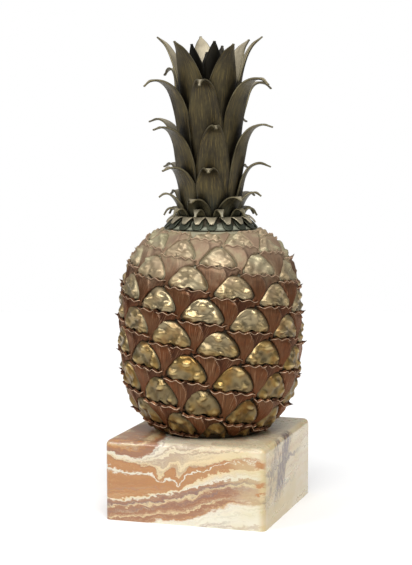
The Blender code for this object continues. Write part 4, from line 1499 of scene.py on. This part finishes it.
@dataclass
class Studio:
    """The floor, the light and the camera."""

    camera_place: tuple[float, float, float] = (0.392, -1.2395, 0.320)
    camera_pitch: float = 83.95
    camera_heading: float = 17.72
    lens: float = 103.86
    sensor: float = 36.0
    aim: tuple[float, float, float] = (0.0, 0.0, 0.2)
    floor_radius: float = 1.3
    floor_sides: int = 96
    daylight: float = 2.4
    daylight_softness: float = 35.0
    daylight_from: tuple[float, float, float] = (0.20, -0.58, 0.80)
    sky_from: float = -0.2
    sky_low: float = 0.06
    sky_high: float = 0.80

    def build(self) -> None:
        """Sets up the floor, the lights, the surroundings and the camera."""
        bpy.ops.object.select_all(action="DESELECT")
        bpy.ops.mesh.primitive_circle_add(vertices=self.floor_sides, radius=self.floor_radius,
                                          fill_type="NGON")
        floor = bpy.context.active_object
        floor.name = "floor"
        floor.data.materials.append(PaleFloor().make())
        self._lamp("key", (-1.0, -1.3, 1.3), 0.6, 11.0)
        self._lamp("side", (1.5, -0.7, 0.8), 0.4, 2.0)
        self._daylight()
        self._surroundings()
        self._camera()

    def _camera(self) -> None:
        """Adds the camera, which looks at the front a little from the right and from above."""
        bpy.context.scene.view_settings.view_transform = "Standard"
        camera = bpy.data.cameras.new("camera")
        camera.lens = self.lens
        camera.sensor_width = self.sensor
        camera.sensor_fit = "AUTO"
        holder = add_object("camera", camera)
        holder.location = self.camera_place
        holder.rotation_euler = (math.radians(self.camera_pitch), 0.0, math.radians(self.camera_heading))
        bpy.context.scene.camera = holder

    def _lamp(self, name: str, place: tuple[float, float, float], size: float, power: float) -> None:
        """Adds a soft square lamp that shines on the middle of the object.

        Args:
            name: the lamp's name.
            place: where it hangs, in metres.
            size: the length of its side, in metres.
            power: its power, in watts.
        """
        lamp = bpy.data.lights.new(name, "AREA")
        lamp.shape = "SQUARE"
        lamp.size = size
        lamp.energy = power
        holder = add_object(name, lamp)
        holder.location = place
        holder.rotation_euler = (Vector(self.aim) - holder.location).to_track_quat("-Z", "Y").to_euler()

    def _daylight(self) -> None:
        """Adds soft even light from the upper right, which keeps the whole floor white."""
        lamp = bpy.data.lights.new("daylight", "SUN")
        lamp.energy = self.daylight
        lamp.angle = math.radians(self.daylight_softness)
        holder = add_object("daylight", lamp)
        holder.rotation_euler = Vector(self.daylight_from).to_track_quat("Z", "Y").to_euler()

    def _surroundings(self) -> None:
        """Sets a white backdrop for the camera and softer light, brighter from above, for the object."""
        world = bpy.data.worlds.new("studio")
        world.use_nodes = True
        bpy.context.scene.world = world
        tree = world.node_tree
        background = tree.nodes["Background"]
        background.inputs["Color"].default_value = (1.0, 1.0, 1.0, 1.0)
        direction = tree.nodes.new("ShaderNodeTexCoord")
        split = tree.nodes.new("ShaderNodeSeparateXYZ")
        height = tree.nodes.new("ShaderNodeMapRange")
        height.inputs["From Min"].default_value = self.sky_from
        height.inputs["To Min"].default_value = self.sky_low
        height.inputs["To Max"].default_value = self.sky_high
        seen = tree.nodes.new("ShaderNodeLightPath")
        strength = tree.nodes.new("ShaderNodeMath")
        strength.operation = "MAXIMUM"
        tree.links.new(direction.outputs["Generated"], split.inputs[0])
        tree.links.new(split.outputs["Z"], height.inputs["Value"])
        tree.links.new(seen.outputs["Is Camera Ray"], strength.inputs[0])
        tree.links.new(height.outputs["Result"], strength.inputs[1])
        tree.links.new(strength.outputs["Value"], background.inputs["Strength"])


def main() -> None:
    """Builds the studio and every piece of the object."""
    logging.basicConfig(level=logging.INFO, format="%(name)s: %(message)s")
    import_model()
    Studio().build()
    Plinth().build()
    low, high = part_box("fruit")
    surface = Surface(foot=low.z / MM, neck=high.z / MM)
    Fruit(surface).build()
    leaf_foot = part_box("small_leaf_1")[0].z / MM
    Crown(root=leaf_foot).build()
    Collar().build()


if __name__ == "__main__":
    main()
